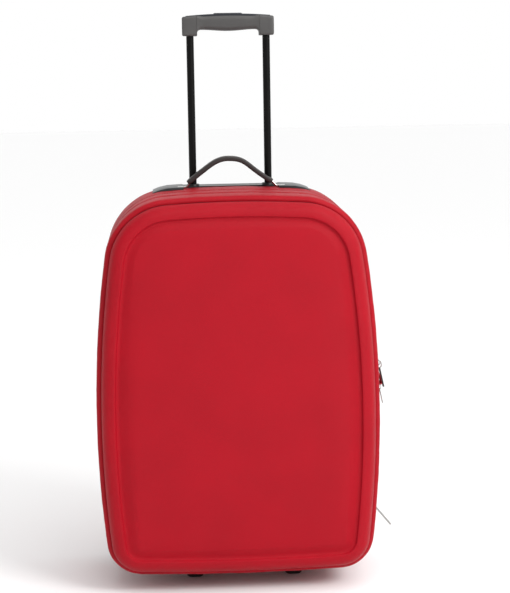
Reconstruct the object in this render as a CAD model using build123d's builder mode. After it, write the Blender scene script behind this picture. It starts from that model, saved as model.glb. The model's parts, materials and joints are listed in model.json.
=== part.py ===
from build123d import *
import math
import os

# A wheeled trolley case with a moulded, fabric-covered front, in millimetres.
# X is to the right, -Y is the front, +Z is up. The origin is on the floor under the middle of the case.

os.makedirs("parts", exist_ok=True)

# ---------------------------------------------------------------- driving dimensions

# The case outline is bounded by four large arcs with rounded corners. The size is that of the front seam.
seam_half_width = 232.0
seam_bottom = 36.5
seam_top = 671.5
top_arc_radius = 1683.0
side_arc_radius = 1901.0
bottom_arc_radius = 3956.0
side_arc_height = 295.5          # height of the widest point of the case
top_corner_radius = 104.0
bottom_corner_radius = 51.0

skin = 8.5                       # the outer fabric stands this far outside the seam line
wall = 3.0                       # padded board and fabric together
tape_skin = 7.5                  # the zip tapes lie slightly below the fabric
tape_wall = 2.0
zip_gap = 0.4                    # between the two halves of a zip

# Depths, from the front seam to the back.
front_apex = -127.0
rim_depth = -115.0
seam_depth = -95.0
main_zip_front = -39.0
main_zip_depth = -35.0
main_zip_back = -31.0
expansion_zip_front = 16.0
expansion_zip_depth = 19.0
expansion_zip_back = 22.0
back_depth = 125.0
back_edge_radius = 16.0
panel_edge_radius = 15.0
face_edge_radius = 10.0
rim_width = 24.0                 # the rounded rim of the front panel
gusset_edge_radius = 8.0

# The telescopic handle.
tube_spacing = 66.5              # each tube's distance from the middle
tube_depth = 95.0
tube_radius = 6.5
tube_bore = 5.5
tube_foot = 604.0
tube_head = 960.8
sleeve_radius = 8.3
sleeve_bore = 7.3
sleeve_bottom = 60.2
sleeve_top = 667.8
handle_stroke = 255.0
running_gap = 0.05               # radial clearance of a shaft that slides or turns in its hole

# The grip.
grip_half_width = 80.0
grip_inner_edge = 54.0
grip_half_depth = 13.0
grip_foot = 942.5
grip_underside = 953.0
grip_underside_middle = 950.5
grip_shoulder = 975.7
grip_crown = 979.5
grip_cavity_floor = 961.0
grip_cavity_roof = 972.5
cap_thickness = 3.0
button_half_length = 25.0
button_half_depth = 7.0
button_top = 981.6
button_travel = 4.0
rod_radius = 2.0
release_bar_bottom = 966.0

# The lock at the foot of each tube.
pin_height = 597.0
pin_radius = 2.5
pin_tip_gap = 0.3                # between a pin's tip and the bore that it bears on
pin_tip_chamfer = 0.7

# Top plate and carry handle.
plate_half_length = 138.0
plate_shoulder_edge = 84.0
plate_front = 84.0
shoulder_front = 56.0
plate_thickness = 3.5
pivot_depth = 69.0
pivot_height = 681.4
pivot_radius = 2.0
strap_width = 24.0
strap_thickness = 8.0

# Wheels and feet.
wheel_x = 175.0
wheel_depth = 108.0
wheel_radius = 25.0
wheel_half_width = 10.0
well_half_width = 12.0
axle_radius = 3.0
bearing_radius = 7.0
hub_radius = 17.0
housing_inner_x = 152.0
housing_outer_x = 206.0
housing_front = 78.0
housing_top = 82.0
foot_places = {"left": -79.0, "right": 95.0}
foot_depth = -8.0
foot_width = 38.0
foot_length = 34.0
foot_screw_radius = 2.0

# Zip sliders: a height on the right-hand side, and the angle of the pull away from straight down.
upper_slider_height = 380.0
lower_slider_height = 337.0
expansion_slider_height = 117.0
slider_lift = 1.3                # a slider's base above the tape, clear of the fabric beside it
pull_pivot_out = 7.0


# ---------------------------------------------------------------- shapes that repeat

def right_crossing(centre_a, radius_a, centre_b, radius_b):
    """Where two circles cross, on the right of the line between their centres or nearest to +X."""
    span = centre_b - centre_a
    along = (radius_a**2 - radius_b**2 + span.length**2) / (2 * span.length)
    across = math.sqrt(radius_a**2 - along**2)
    direction = span.normalized()
    sideways = Vector(-direction.Y, direction.X)
    middle = centre_a + direction * along
    return max((middle + sideways * across, middle - sideways * across), key=lambda point: point.X)


def case_outline(grow):
    """The outline of the case, as a face on XY, moved outwards from the seam line by grow."""
    side_centre = Vector(seam_half_width - side_arc_radius, side_arc_height)
    top_centre = Vector(0, seam_top - top_arc_radius)
    bottom_centre = Vector(0, seam_bottom + bottom_arc_radius)
    side_radius = side_arc_radius + grow
    top_right = right_crossing(side_centre, side_radius, top_centre, top_arc_radius + grow)
    bottom_right = right_crossing(side_centre, side_radius, bottom_centre, bottom_arc_radius + grow)
    top_left = (-top_right.X, top_right.Y)
    bottom_left = (-bottom_right.X, bottom_right.Y)
    half_width = seam_half_width + grow
    with BuildSketch() as region:
        with BuildLine():
            ThreePointArc(top_left, (0, seam_top + grow), top_right)
            ThreePointArc(top_right, (half_width, side_arc_height), bottom_right)
            ThreePointArc(bottom_right, (0, seam_bottom - grow), bottom_left)
            ThreePointArc(bottom_left, (-half_width, side_arc_height), top_left)
        make_face()
        fillet(region.vertices().group_by(Axis.Y)[-1], radius=top_corner_radius + grow)
        fillet(region.vertices().group_by(Axis.Y)[0], radius=bottom_corner_radius + grow)
    return region.sketch


def case_block(front, back, grow):
    """A solid block with the case outline, between two depths."""
    with BuildPart() as block:
        with BuildSketch(Plane.XZ.offset(-back)):
            add(case_outline(grow))
        extrude(amount=back - front)
    return block.part


def case_band(front, back, outer, inner):
    """A ring that follows the case outline, between two depths and two offsets."""
    with BuildPart() as band:
        with BuildSketch(Plane.XZ.offset(-back)):
            add(case_outline(outer))
            add(case_outline(inner), mode=Mode.SUBTRACT)
        extrude(amount=back - front)
    return band.part


def back_block(front, back, grow, radius):
    """A case block whose back edge is rounded."""
    with BuildPart() as block:
        add(case_block(front, back, grow))
        fillet(block.edges().group_by(Axis.Y)[-1], radius=radius)
    return block.part


def front_block(front, back, grow, radius):
    """A case block whose front edge is rounded."""
    with BuildPart() as block:
        add(case_block(front, back, grow))
        fillet(block.edges().group_by(Axis.Y)[0], radius=radius)
    return block.part


def panel_block(inset):
    """The moulded front as a solid: a rounded rim with a raised, rounded face inside it."""
    with BuildPart() as block:
        add(front_block(rim_depth + inset, seam_depth + inset / 2, -inset, panel_edge_radius - inset))
        add(front_block(front_apex + inset, rim_depth + 2 * wall, -rim_width - inset, face_edge_radius - inset))
    return block.part


def slab(low, high):
    """A plain box between two corners."""
    with BuildPart() as block:
        with Locations(tuple((a + b) / 2 for a, b in zip(low, high))):
            Box(*[b - a for a, b in zip(low, high)])
    return block.part


def rod_along(direction, start, end, radius):
    """A round bar along X, Y or Z. start is a point, end is the coordinate where the bar stops."""
    plane_normal = {"X": (1, 0, 0), "Y": (0, 1, 0), "Z": (0, 0, 1)}[direction]
    length = end - start[{"X": 0, "Y": 1, "Z": 2}[direction]]
    with BuildPart() as bar:
        with BuildSketch(Plane(origin=start, z_dir=plane_normal)):
            Circle(radius)
        extrude(amount=length)
    return bar.part


def save(part, name):
    """Label a finished piece and write its file."""
    part.label = name
    export_step(part, f"parts/{name}.step")


sides = {"left": -1, "right": 1}


# ---------------------------------------------------------------- rear shell

wheel_corners = [
    slab(
        (min(side * housing_inner_x, side * housing_outer_x) - 0.1, housing_front - 0.1, 0),
        (max(side * housing_inner_x, side * housing_outer_x) + 0.1, back_depth + 10, housing_top + 0.1),
    )
    for side in sides.values()
]
collar_radius = 11.0
rivet_radius = 2.0
rivet_hole = rivet_radius + running_gap
bracket_rivets_x = 40.0
bracket_bottom = 46.0
bracket_top = 58.0
bracket_height = 52.0
plate_rivets_x = 100.0
plate_rivets_height = 663.0
rivet_places = [
    (x, height)
    for x, height in (
        (-bracket_rivets_x, bracket_height),
        (bracket_rivets_x, bracket_height),
        (-plate_rivets_x, plate_rivets_height),
        (plate_rivets_x, plate_rivets_height),
    )
]

with BuildPart() as rear_shell:
    add(back_block(expansion_zip_back, back_depth, skin, back_edge_radius))
    add(
        back_block(expansion_zip_back - 1, back_depth - wall, skin - wall, back_edge_radius - wall),
        mode=Mode.SUBTRACT,
    )
    for corner in wheel_corners:
        add(corner, mode=Mode.SUBTRACT)
    for side in sides.values():
        collar_hole = rod_along("Z", (side * tube_spacing, tube_depth, 650), 700, collar_radius + running_gap)
        add(collar_hole, mode=Mode.SUBTRACT)
    for x, height in rivet_places:
        add(rod_along("Y", (x, 100, height), 140, rivet_hole), mode=Mode.SUBTRACT)
save(rear_shell.part, "rear_shell")

# ---------------------------------------------------------------- board over the handle tubes, inside the case

cover_half_width = 88.0
cover_front = 82.0
cover_wall = 2.0
cover_bottom = 34.0
cover_top = 671.0
inner_back = back_depth - wall

with BuildPart() as tube_cover:
    add(slab((-cover_half_width, cover_front, cover_bottom), (cover_half_width, inner_back - 0.2, cover_top)))
    add(
        slab(
            (-cover_half_width + cover_wall, cover_front + cover_wall, cover_bottom - 1),
            (cover_half_width - cover_wall, inner_back + 1, cover_top + 1),
        ),
        mode=Mode.SUBTRACT,
    )
    add(
        back_block(cover_front - 1, inner_back - 0.2, skin - wall - 0.2, back_edge_radius - wall - 0.2),
        mode=Mode.INTERSECT,
    )
save(tube_cover.part, "tube_cover")

# ---------------------------------------------------------------- top plate

plate_skirt = 651.0


def plate_profile():
    """The plate seen from the front: flat in the middle, with a raised shoulder at each end."""
    flat_top = seam_top + skin + plate_thickness
    with BuildSketch() as profile:
        with BuildLine():
            Polyline(
                (0, plate_skirt),
                (plate_half_length + 2, plate_skirt),
                (plate_half_length, flat_top - 9),
                (plate_half_length - 12, flat_top - 3),
                (plate_half_length - 26, flat_top + 1),
                (plate_shoulder_edge + 2, flat_top + 2),
                (plate_shoulder_edge, flat_top),
                (0, flat_top),
                close=True,
            )
        make_face()
        mirror(about=Plane.YZ)
    return profile.sketch


with BuildPart() as top_plate:
    with BuildSketch(Plane.XZ.offset(-back_depth - plate_thickness)):
        add(plate_profile())
    extrude(amount=back_depth + plate_thickness - shoulder_front)
    add(
        slab((-plate_shoulder_edge, shoulder_front - 1, 600), (plate_shoulder_edge, plate_front, 700)),
        mode=Mode.SUBTRACT,
    )
    add(
        back_block(0, back_depth + plate_thickness, skin + 30, back_edge_radius + plate_thickness),
        mode=Mode.INTERSECT,
    )
    add(back_block(0, back_depth, skin, back_edge_radius), mode=Mode.SUBTRACT)
    for side in sides.values():
        collar_hole = rod_along("Z", (side * tube_spacing, tube_depth, 650), 700, collar_radius + running_gap)
        add(collar_hole, mode=Mode.SUBTRACT)
        pivot_start = min(side * plate_shoulder_edge, side * (plate_shoulder_edge + 12))
        pivot_hole = rod_along(
            "X", (pivot_start, pivot_depth, pivot_height), pivot_start + 12, pivot_radius + running_gap
        )
        add(pivot_hole, mode=Mode.SUBTRACT)
        rivet_bore = rod_along("Y", (side * plate_rivets_x, 100, plate_rivets_height), 140, rivet_hole)
        add(rivet_bore, mode=Mode.SUBTRACT)
save(top_plate.part, "top_plate")

# ---------------------------------------------------------------- rivets in the back

with BuildPart() as back_rivets:
    for x, height in rivet_places:
        over_plate = height > seam_top / 2
        face_depth = back_depth + (plate_thickness if over_plate else 0)
        add(rod_along("Y", (x, inner_back - 8, height), face_depth, rivet_radius))
        add(rod_along("Y", (x, face_depth, height), face_depth + 1.5, 2 * rivet_radius))
save(back_rivets.part, "back_rivets")

# ---------------------------------------------------------------- handle sleeves, their foot bracket and collars

collar_bottom = 668.0
collar_top = 684.6

for name, side in sides.items():
    with BuildPart() as collar:
        add(rod_along("Z", (side * tube_spacing, tube_depth, collar_bottom), collar_top, collar_radius))
        add(
            rod_along("Z", (side * tube_spacing, tube_depth, 600), 700, tube_radius + running_gap),
            mode=Mode.SUBTRACT,
        )
    save(collar.part, f"tube_collar_{name}")

for name, side in sides.items():
    with BuildPart() as sleeve:
        add(rod_along("Z", (side * tube_spacing, tube_depth, sleeve_bottom), sleeve_top, sleeve_radius))
        add(
            rod_along("Z", (side * tube_spacing, tube_depth, sleeve_bottom - 1), sleeve_top + 1, sleeve_bore),
            mode=Mode.SUBTRACT,
        )
        for height in (pin_height, pin_height - handle_stroke):
            start_x = min(side * tube_spacing, side * (tube_spacing + 2 * sleeve_radius))
            lock_hole = rod_along(
                "X", (start_x, tube_depth, height), start_x + 2 * sleeve_radius, pin_radius + 0.3
            )
            add(lock_hole, mode=Mode.SUBTRACT)
    save(sleeve.part, f"outer_tube_{name}")

with BuildPart() as tube_bracket:
    add(slab((-84, 85, bracket_bottom), (84, inner_back - 0.3, bracket_top)))
    for side in sides.values():
        add(
            rod_along(
                "Z", (side * tube_spacing, tube_depth, bracket_bottom), bracket_top + 26, sleeve_radius + 2.5
            )
        )
    for side in sides.values():
        add(
            rod_along(
                "Z", (side * tube_spacing, tube_depth, sleeve_bottom - 0.1), bracket_top + 30, sleeve_radius + 0.05
            ),
            mode=Mode.SUBTRACT,
        )
    for x, height in rivet_places[:2]:
        add(rod_along("Y", (x, 100, height), 140, rivet_hole), mode=Mode.SUBTRACT)
save(tube_bracket.part, "tube_bracket")

# ---------------------------------------------------------------- wheel housings, axles and wheels

housing_proud = 1.2
well_gap = 2.5                   # from the tyre to the housing around it
well_top = 36.0
boss_half_length = 18.0          # the bosses that hold the ends of the axle
boss_radius = 10.0
boss_top = 44.0
axle_half_length = 16.8
axle_hole_half_length = 17.0
axle_fit = 0.03
tyre_edge_radius = 3.0
hub_lip = 2.5
hub_recess = 3.0
bearing_width = 5.0

for name, side in sides.items():
    low_x = min(side * housing_inner_x, side * housing_outer_x)
    high_x = max(side * housing_inner_x, side * housing_outer_x)
    well_low = side * wheel_x - well_half_width
    well_high = side * wheel_x + well_half_width
    boss_low = side * wheel_x - boss_half_length
    boss_high = side * wheel_x + boss_half_length
    with BuildPart() as housing:
        add(
            back_block(
                housing_front, back_depth + housing_proud, skin + housing_proud, back_edge_radius + housing_proud
            )
        )
        add(slab((low_x, housing_front, 0), (high_x, back_depth + 10, housing_top)), mode=Mode.INTERSECT)
        add(rod_along("X", (boss_low, wheel_depth, wheel_radius), boss_high, boss_radius))
        add(
            slab((boss_low, wheel_depth - boss_radius, wheel_radius), (boss_high, wheel_depth + boss_radius, boss_top))
        )
        add(
            slab((well_low, wheel_depth - wheel_radius - well_gap, -5), (well_high, back_depth + 10, well_top)),
            mode=Mode.SUBTRACT,
        )
        add(
            rod_along("X", (well_low, wheel_depth, wheel_radius), well_high, wheel_radius + well_gap),
            mode=Mode.SUBTRACT,
        )
        add(
            rod_along(
                "X",
                (side * wheel_x - axle_hole_half_length, wheel_depth, wheel_radius),
                side * wheel_x + axle_hole_half_length,
                axle_radius + axle_fit,
            ),
            mode=Mode.SUBTRACT,
        )
    save(housing.part, f"wheel_housing_{name}")

    with BuildPart() as axle:
        add(
            rod_along(
                "X",
                (side * wheel_x - axle_half_length, wheel_depth, wheel_radius),
                side * wheel_x + axle_half_length,
                axle_radius,
            )
        )
    save(axle.part, f"axle_{name}")

    with BuildPart() as tyre:
        with BuildSketch(Plane.YZ.offset(side * wheel_x - wheel_half_width)):
            with Locations((wheel_depth, wheel_radius)):
                Circle(wheel_radius)
                Circle(hub_radius + 0.1, mode=Mode.SUBTRACT)
        extrude(amount=2 * wheel_half_width)
        rims = tyre.edges().filter_by(GeomType.CIRCLE).sort_by(SortBy.RADIUS)[-2:]
        fillet(rims, radius=tyre_edge_radius)
    save(tyre.part, f"wheel_tyre_{name}")

    with BuildPart() as hub:
        add(
            rod_along(
                "X",
                (side * wheel_x - wheel_half_width, wheel_depth, wheel_radius),
                side * wheel_x + wheel_half_width,
                hub_radius,
            )
        )
        add(
            rod_along("X", (side * wheel_x - 20, wheel_depth, wheel_radius), side * wheel_x + 20, bearing_radius),
            mode=Mode.SUBTRACT,
        )
        for hub_face in (-1, 1):
            start_x = side * wheel_x + hub_face * wheel_half_width - (hub_recess if hub_face > 0 else 0)
            with BuildSketch(Plane.YZ.offset(start_x)):
                with Locations((wheel_depth, wheel_radius)):
                    Circle(hub_radius - hub_lip)
                    Circle(bearing_radius + hub_lip, mode=Mode.SUBTRACT)
            extrude(amount=hub_recess, mode=Mode.SUBTRACT)
    save(hub.part, f"wheel_hub_{name}")

    with BuildPart() as bearings:
        for face_x in (side * wheel_x - wheel_half_width, side * wheel_x + wheel_half_width - bearing_width):
            with BuildSketch(Plane.YZ.offset(face_x)):
                with Locations((wheel_depth, wheel_radius)):
                    Circle(bearing_radius)
                    Circle(axle_radius + running_gap, mode=Mode.SUBTRACT)
            extrude(amount=bearing_width)
    save(bearings.part, f"wheel_bearings_{name}")

# ---------------------------------------------------------------- bands, tapes and the lid

with BuildPart() as frame_band:
    add(case_band(main_zip_back, expansion_zip_front, skin, skin - wall))
    for foot_x in foot_places.values():
        screw_hole = rod_along("Z", (foot_x, foot_depth, 10), 45, foot_screw_radius + running_gap)
        add(screw_hole, mode=Mode.SUBTRACT)
save(frame_band.part, "frame_band")

tape_halves = {
    "main_zip_lid_half": (main_zip_front, main_zip_depth - zip_gap / 2),
    "main_zip_frame_half": (main_zip_depth + zip_gap / 2, main_zip_back),
    "expansion_zip_frame_half": (expansion_zip_front, expansion_zip_depth - zip_gap / 2),
    "expansion_zip_rear_half": (expansion_zip_depth + zip_gap / 2, expansion_zip_back),
}

for name, (front, back) in tape_halves.items():
    with BuildPart() as tape:
        add(case_band(front, back, tape_skin, tape_skin - tape_wall))
    save(tape.part, name)

with BuildPart() as lid_gusset:
    add(front_block(seam_depth, main_zip_front, skin, gusset_edge_radius))
    add(case_block(seam_depth + wall, main_zip_front + 1, skin - wall), mode=Mode.SUBTRACT)
    add(case_block(seam_depth - 1, main_zip_front + 1, -6), mode=Mode.SUBTRACT)
save(lid_gusset.part, "lid_gusset")

with BuildPart() as front_panel:
    add(panel_block(0))
    add(panel_block(wall), mode=Mode.SUBTRACT)
save(front_panel.part, "front_panel")

hoop_front = seam_depth + wall + 0.1
hoop_back = hoop_front + 4
with BuildPart() as lid_hoop:
    add(case_band(hoop_front, hoop_back, skin - wall - 0.1, skin - 2 * wall))
save(lid_hoop.part, "lid_hoop")

with BuildPart() as lid_lining:
    add(case_block(hoop_back + 0.1, hoop_back + 1.6, skin - wall - 0.1))
save(lid_lining.part, "lid_lining")

hinge_low = 115.0
hinge_high = 476.0
with BuildPart() as hinge_strip:
    add(case_band(main_zip_front + 0.5, main_zip_back + 12, skin - wall - 0.3, skin - wall - 1.8))
    add(slab((-300, -60, hinge_low), (-200, 0, hinge_high)), mode=Mode.INTERSECT)
save(hinge_strip.part, "hinge_strip")

# ---------------------------------------------------------------- front feet

for name, foot_x in foot_places.items():
    with BuildPart() as foot:
        with BuildSketch(Plane.XY) as sole:
            with Locations((foot_x, foot_depth)):
                RectangleRounded(foot_width - 10, foot_length - 8, 9)
        with BuildSketch(Plane.XY.offset(32)) as top:
            with Locations((foot_x, foot_depth)):
                RectangleRounded(foot_width, foot_length, 12)
        loft()
        fillet(foot.edges().group_by(Axis.Z)[0], radius=3)
        add(case_block(-60, 60, skin), mode=Mode.SUBTRACT)
        add(
            rod_along("Z", (foot_x, foot_depth, 17), 45, foot_screw_radius + running_gap),
            mode=Mode.SUBTRACT,
        )
    save(foot.part, f"front_foot_{name}")

screw_head_seat = 32.3
with BuildPart() as foot_screws:
    for foot_x in foot_places.values():
        place = (foot_x, foot_depth, 18)
        add(rod_along("Z", place, screw_head_seat, foot_screw_radius))
        add(rod_along("Z", (place[0], place[1], screw_head_seat), screw_head_seat + 2.5, 4))
save(foot_screws.part, "foot_screws")

# ---------------------------------------------------------------- sliding tubes, plugs and lock pins

for name, side in sides.items():
    with BuildPart() as tube:
        add(rod_along("Z", (side * tube_spacing, tube_depth, tube_foot), tube_head, tube_radius))
        add(
            rod_along("Z", (side * tube_spacing, tube_depth, tube_foot - 1), tube_head + 1, tube_bore),
            mode=Mode.SUBTRACT,
        )
    save(tube.part, f"inner_tube_{name}")

    with BuildPart() as plug:
        add(rod_along("Z", (side * tube_spacing, tube_depth, pin_height - 8), tube_foot, sleeve_bore - 0.1))
        add(rod_along("Z", (side * tube_spacing, tube_depth, tube_foot), tube_foot + 26, tube_bore - 0.05))
        add(
            rod_along("Z", (side * tube_spacing, tube_depth, pin_height + 1), tube_foot + 30, rod_radius + 0.5),
            mode=Mode.SUBTRACT,
        )
        bore_start = min(side * (tube_spacing - 4), side * (tube_spacing + 10))
        add(
            rod_along("X", (bore_start, tube_depth, pin_height), bore_start + 14, pin_radius + running_gap),
            mode=Mode.SUBTRACT,
        )
    save(plug.part, f"tube_plug_{name}")

    with BuildPart() as lock_pin:
        pin_start = min(side * (tube_spacing - 1.5), side * (tube_spacing + sleeve_bore - pin_tip_gap))
        pin_end = pin_start + sleeve_bore + 1.5 - pin_tip_gap
        add(rod_along("X", (pin_start, tube_depth, pin_height), pin_end, pin_radius))
        tips = lock_pin.edges().filter_by(GeomType.CIRCLE).sort_by(Axis.X)
        chamfer(tips[-1] if side > 0 else tips[0], length=pin_tip_chamfer)
    save(lock_pin.part, f"lock_pin_{name}")

    with BuildPart() as push_rod:
        rod_foot = pin_height + pin_radius + button_travel + 0.4
        add(rod_along("Z", (side * tube_spacing, tube_depth, rod_foot), release_bar_bottom, rod_radius))
    save(push_rod.part, f"push_rod_{name}")

# ---------------------------------------------------------------- grip


def grip_profile(drop):
    """The grip seen from the front, with its crown lowered by drop."""
    with BuildSketch() as profile:
        with BuildLine():
            Polyline(
                (-grip_half_width, grip_shoulder - drop),
                (-grip_half_width, grip_foot),
                (-grip_inner_edge, grip_foot),
                (-grip_inner_edge + 5, grip_underside),
            )
            ThreePointArc(
                (-grip_inner_edge + 5, grip_underside),
                (0, grip_underside_middle),
                (grip_inner_edge - 5, grip_underside),
            )
            Polyline(
                (grip_inner_edge - 5, grip_underside),
                (grip_inner_edge, grip_foot),
                (grip_half_width, grip_foot),
                (grip_half_width, grip_shoulder - drop),
            )
            ThreePointArc(
                (grip_half_width, grip_shoulder - drop),
                (0, grip_crown - drop),
                (-grip_half_width, grip_shoulder - drop),
            )
        make_face()
    return profile.sketch


with BuildPart() as grip_solid:
    with BuildSketch(Plane.XZ.offset(-tube_depth - grip_half_depth)):
        add(grip_profile(0))
    extrude(amount=2 * grip_half_depth)

cap_half_length = 74.0
cap_half_depth = 9.5
with BuildPart() as cap_strip:
    add(grip_solid.part)
    with BuildSketch(Plane.XZ.offset(-tube_depth - grip_half_depth)):
        add(grip_profile(cap_thickness))
    extrude(amount=2 * grip_half_depth, mode=Mode.SUBTRACT)

with BuildPart() as grip_body:
    add(grip_solid.part)
    fillet(grip_body.edges().filter_by(Axis.Y).group_by(Axis.Z)[-1], radius=3)
    add(
        slab(
            (-cap_half_length - 0.1, tube_depth - cap_half_depth - 0.1, 960),
            (cap_half_length + 0.1, tube_depth + cap_half_depth + 0.1, 990),
        )
        & cap_strip.part,
        mode=Mode.SUBTRACT,
    )
    add(
        slab(
            (-cap_half_length, tube_depth - cap_half_depth, grip_cavity_floor),
            (cap_half_length, tube_depth + cap_half_depth, grip_cavity_roof),
        ),
        mode=Mode.SUBTRACT,
    )
    with BuildSketch(Plane.XY.offset(grip_cavity_roof - 1)):
        with Locations((0, tube_depth)):
            Rectangle(2 * (button_half_length + 0.3), 2 * (button_half_depth + 0.3))
    extrude(amount=8, mode=Mode.SUBTRACT)
    for side in sides.values():
        add(
            rod_along("Z", (side * tube_spacing, tube_depth, 930), tube_head, tube_radius + 0.02),
            mode=Mode.SUBTRACT,
        )
        add(
            rod_along("Z", (side * tube_spacing, tube_depth, 950), grip_cavity_floor + 1, rod_radius + 0.5),
            mode=Mode.SUBTRACT,
        )
save(grip_body.part, "grip_body")

with BuildPart() as grip_cap:
    add(cap_strip.part)
    add(
        slab(
            (-cap_half_length, tube_depth - cap_half_depth, 960),
            (cap_half_length, tube_depth + cap_half_depth, 990),
        ),
        mode=Mode.INTERSECT,
    )
    add(
        slab(
            (-button_half_length - 0.3, tube_depth - button_half_depth - 0.3, 950),
            (button_half_length + 0.3, tube_depth + button_half_depth + 0.3, 990),
        ),
        mode=Mode.SUBTRACT,
    )
save(grip_cap.part, "grip_cap")

with BuildPart() as release_button:
    add(
        slab(
            (-button_half_length, tube_depth - button_half_depth, release_bar_bottom),
            (button_half_length, tube_depth + button_half_depth, button_top),
        )
    )
    fillet(release_button.edges().group_by(Axis.Z)[-1], radius=1.2)
    add(
        slab(
            (-tube_spacing - 3, tube_depth - 3, release_bar_bottom),
            (tube_spacing + 3, tube_depth + 3, release_bar_bottom + 3),
        )
    )
save(release_button.part, "release_button")

with BuildPart() as button_spring:
    with BuildLine():
        coil = Helix(pitch=1.1, height=3.6, radius=4, center=(0, tube_depth, grip_cavity_floor + 0.7))
    with BuildSketch(Plane(origin=coil @ 0, z_dir=coil % 0)):
        Circle(0.4)
    sweep(is_frenet=True)
save(button_spring.part, "button_spring")

with BuildPart() as grip_screws:
    for side in sides.values():
        place = (side * (tube_spacing - 9.5), tube_depth, grip_foot - 0.6)
        add(rod_along("Z", place, grip_foot, 2.2))
save(grip_screws.part, "grip_screws")

# ---------------------------------------------------------------- carry handle

strap_points = [
    (-76, 689.5),
    (-62, 697.5),
    (-46, 710),
    (-30, 722.5),
    (-15, 729.5),
    (0, 731),
    (15, 729.5),
    (30, 722.5),
    (46, 710),
    (62, 697.5),
    (76, 689.5),
]

with BuildPart() as carry_strap:
    with BuildLine(Plane.XZ.offset(-pivot_depth)) as strap_line:
        Spline(strap_points)
    with BuildSketch(Plane(origin=strap_line.line @ 0, x_dir=(0, 1, 0), z_dir=strap_line.line % 0)):
        Rectangle(strap_width, strap_thickness)
    sweep()
save(carry_strap.part, "carry_strap")

for name, side in sides.items():
    wire_route = [
        (side * 68, pivot_depth, 693.8),
        (side * 79, pivot_depth, pivot_height),
        (side * (plate_shoulder_edge + 10), pivot_depth, pivot_height),
    ]
    with BuildPart() as wire:
        with BuildLine() as route:
            FilletPolyline(*wire_route, radius=3)
        with BuildSketch(Plane(origin=route.line @ 0, z_dir=route.line % 0)):
            Circle(pivot_radius)
        sweep()
    save(wire.part, f"handle_wire_{name}")

# ---------------------------------------------------------------- zip sliders and pulls


def tape_plane(height, depth):
    """A plane on the right-hand zip tape: local x points out of the case, local y up along the tape."""
    tape_radius = side_arc_radius + tape_skin
    angle = math.asin((height - side_arc_height) / tape_radius)
    centre_x = seam_half_width - side_arc_radius
    outwards = (math.cos(angle), 0, math.sin(angle))
    origin = (centre_x + tape_radius * outwards[0], depth, side_arc_height + tape_radius * outwards[2])
    return Plane(origin=origin, x_dir=outwards, z_dir=(0, -1, 0))


def make_slider(name, height, depth):
    """A zip slider with an arched bridge that its pull hangs from."""
    place = tape_plane(height, depth)
    with BuildPart() as slider:
        with BuildSketch(place.offset(-3.6)):
            with Locations((slider_lift + 1.5, 0)):
                RectangleRounded(3, 13, 1)
        extrude(amount=7.2)
        with BuildSketch(place.offset(-1.2)):
            with Locations((slider_lift + 5.2, 0)):
                RectangleRounded(6.4, 10, 2.4)
            with Locations((pull_pivot_out, 0)):
                RectangleRounded(3.4, 6.4, 1.4, mode=Mode.SUBTRACT)
        extrude(amount=2.4)
    save(slider.part, name)


def make_pull(name, height, depth, tilt, length):
    """A flat pull whose cross bar passes through the slider's bridge. tilt is away from straight down."""
    pivot = tape_plane(height, depth).from_local_coords((pull_pivot_out, 0, 0))
    down = (math.sin(math.radians(tilt)), 0, -math.cos(math.radians(tilt)))
    with BuildPart() as pull:
        with BuildSketch(Plane(origin=pivot, x_dir=(0, 1, 0), z_dir=(-down[2], 0, down[0])).offset(-0.7)):
            with Locations((0, -length / 2 + 0.9)):
                RectangleRounded(8.4, length, 1.5)
            with Locations((0, -4.3)):
                RectangleRounded(4.4, 6.8, 0.6, mode=Mode.SUBTRACT)
            with Locations((0, -length + 4.5)):
                Circle(1.6, mode=Mode.SUBTRACT)
        extrude(amount=1.4)
    save(pull.part, name)


make_slider("main_slider_upper", upper_slider_height, main_zip_depth)
make_pull("main_pull_upper", upper_slider_height, main_zip_depth, tilt=12, length=44)
make_slider("main_slider_lower", lower_slider_height, main_zip_depth)
make_pull("main_pull_lower", lower_slider_height, main_zip_depth, tilt=12, length=30)
make_slider("expansion_slider", expansion_slider_height, expansion_zip_depth)
make_pull("expansion_pull", expansion_slider_height, expansion_zip_depth, tilt=39, length=56)
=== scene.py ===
# %% [markdown]
# # A wheeled trolley case
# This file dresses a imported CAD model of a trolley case. The CAD part holds the sizes, the joints
# and the collision shapes. Here each visible piece gets its real shape and finish: cloth over a
# moulded front, zips with teeth, a moulded plastic grip and top plate, and wheels. Everything is in
# metres, X to the right, -Y the front, Z up, with the floor at zero.

# %% Load the frame
import json
import math
from contextlib import contextmanager

import bmesh
import bpy
import numpy as np
from mathutils import Matrix, Vector

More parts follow.
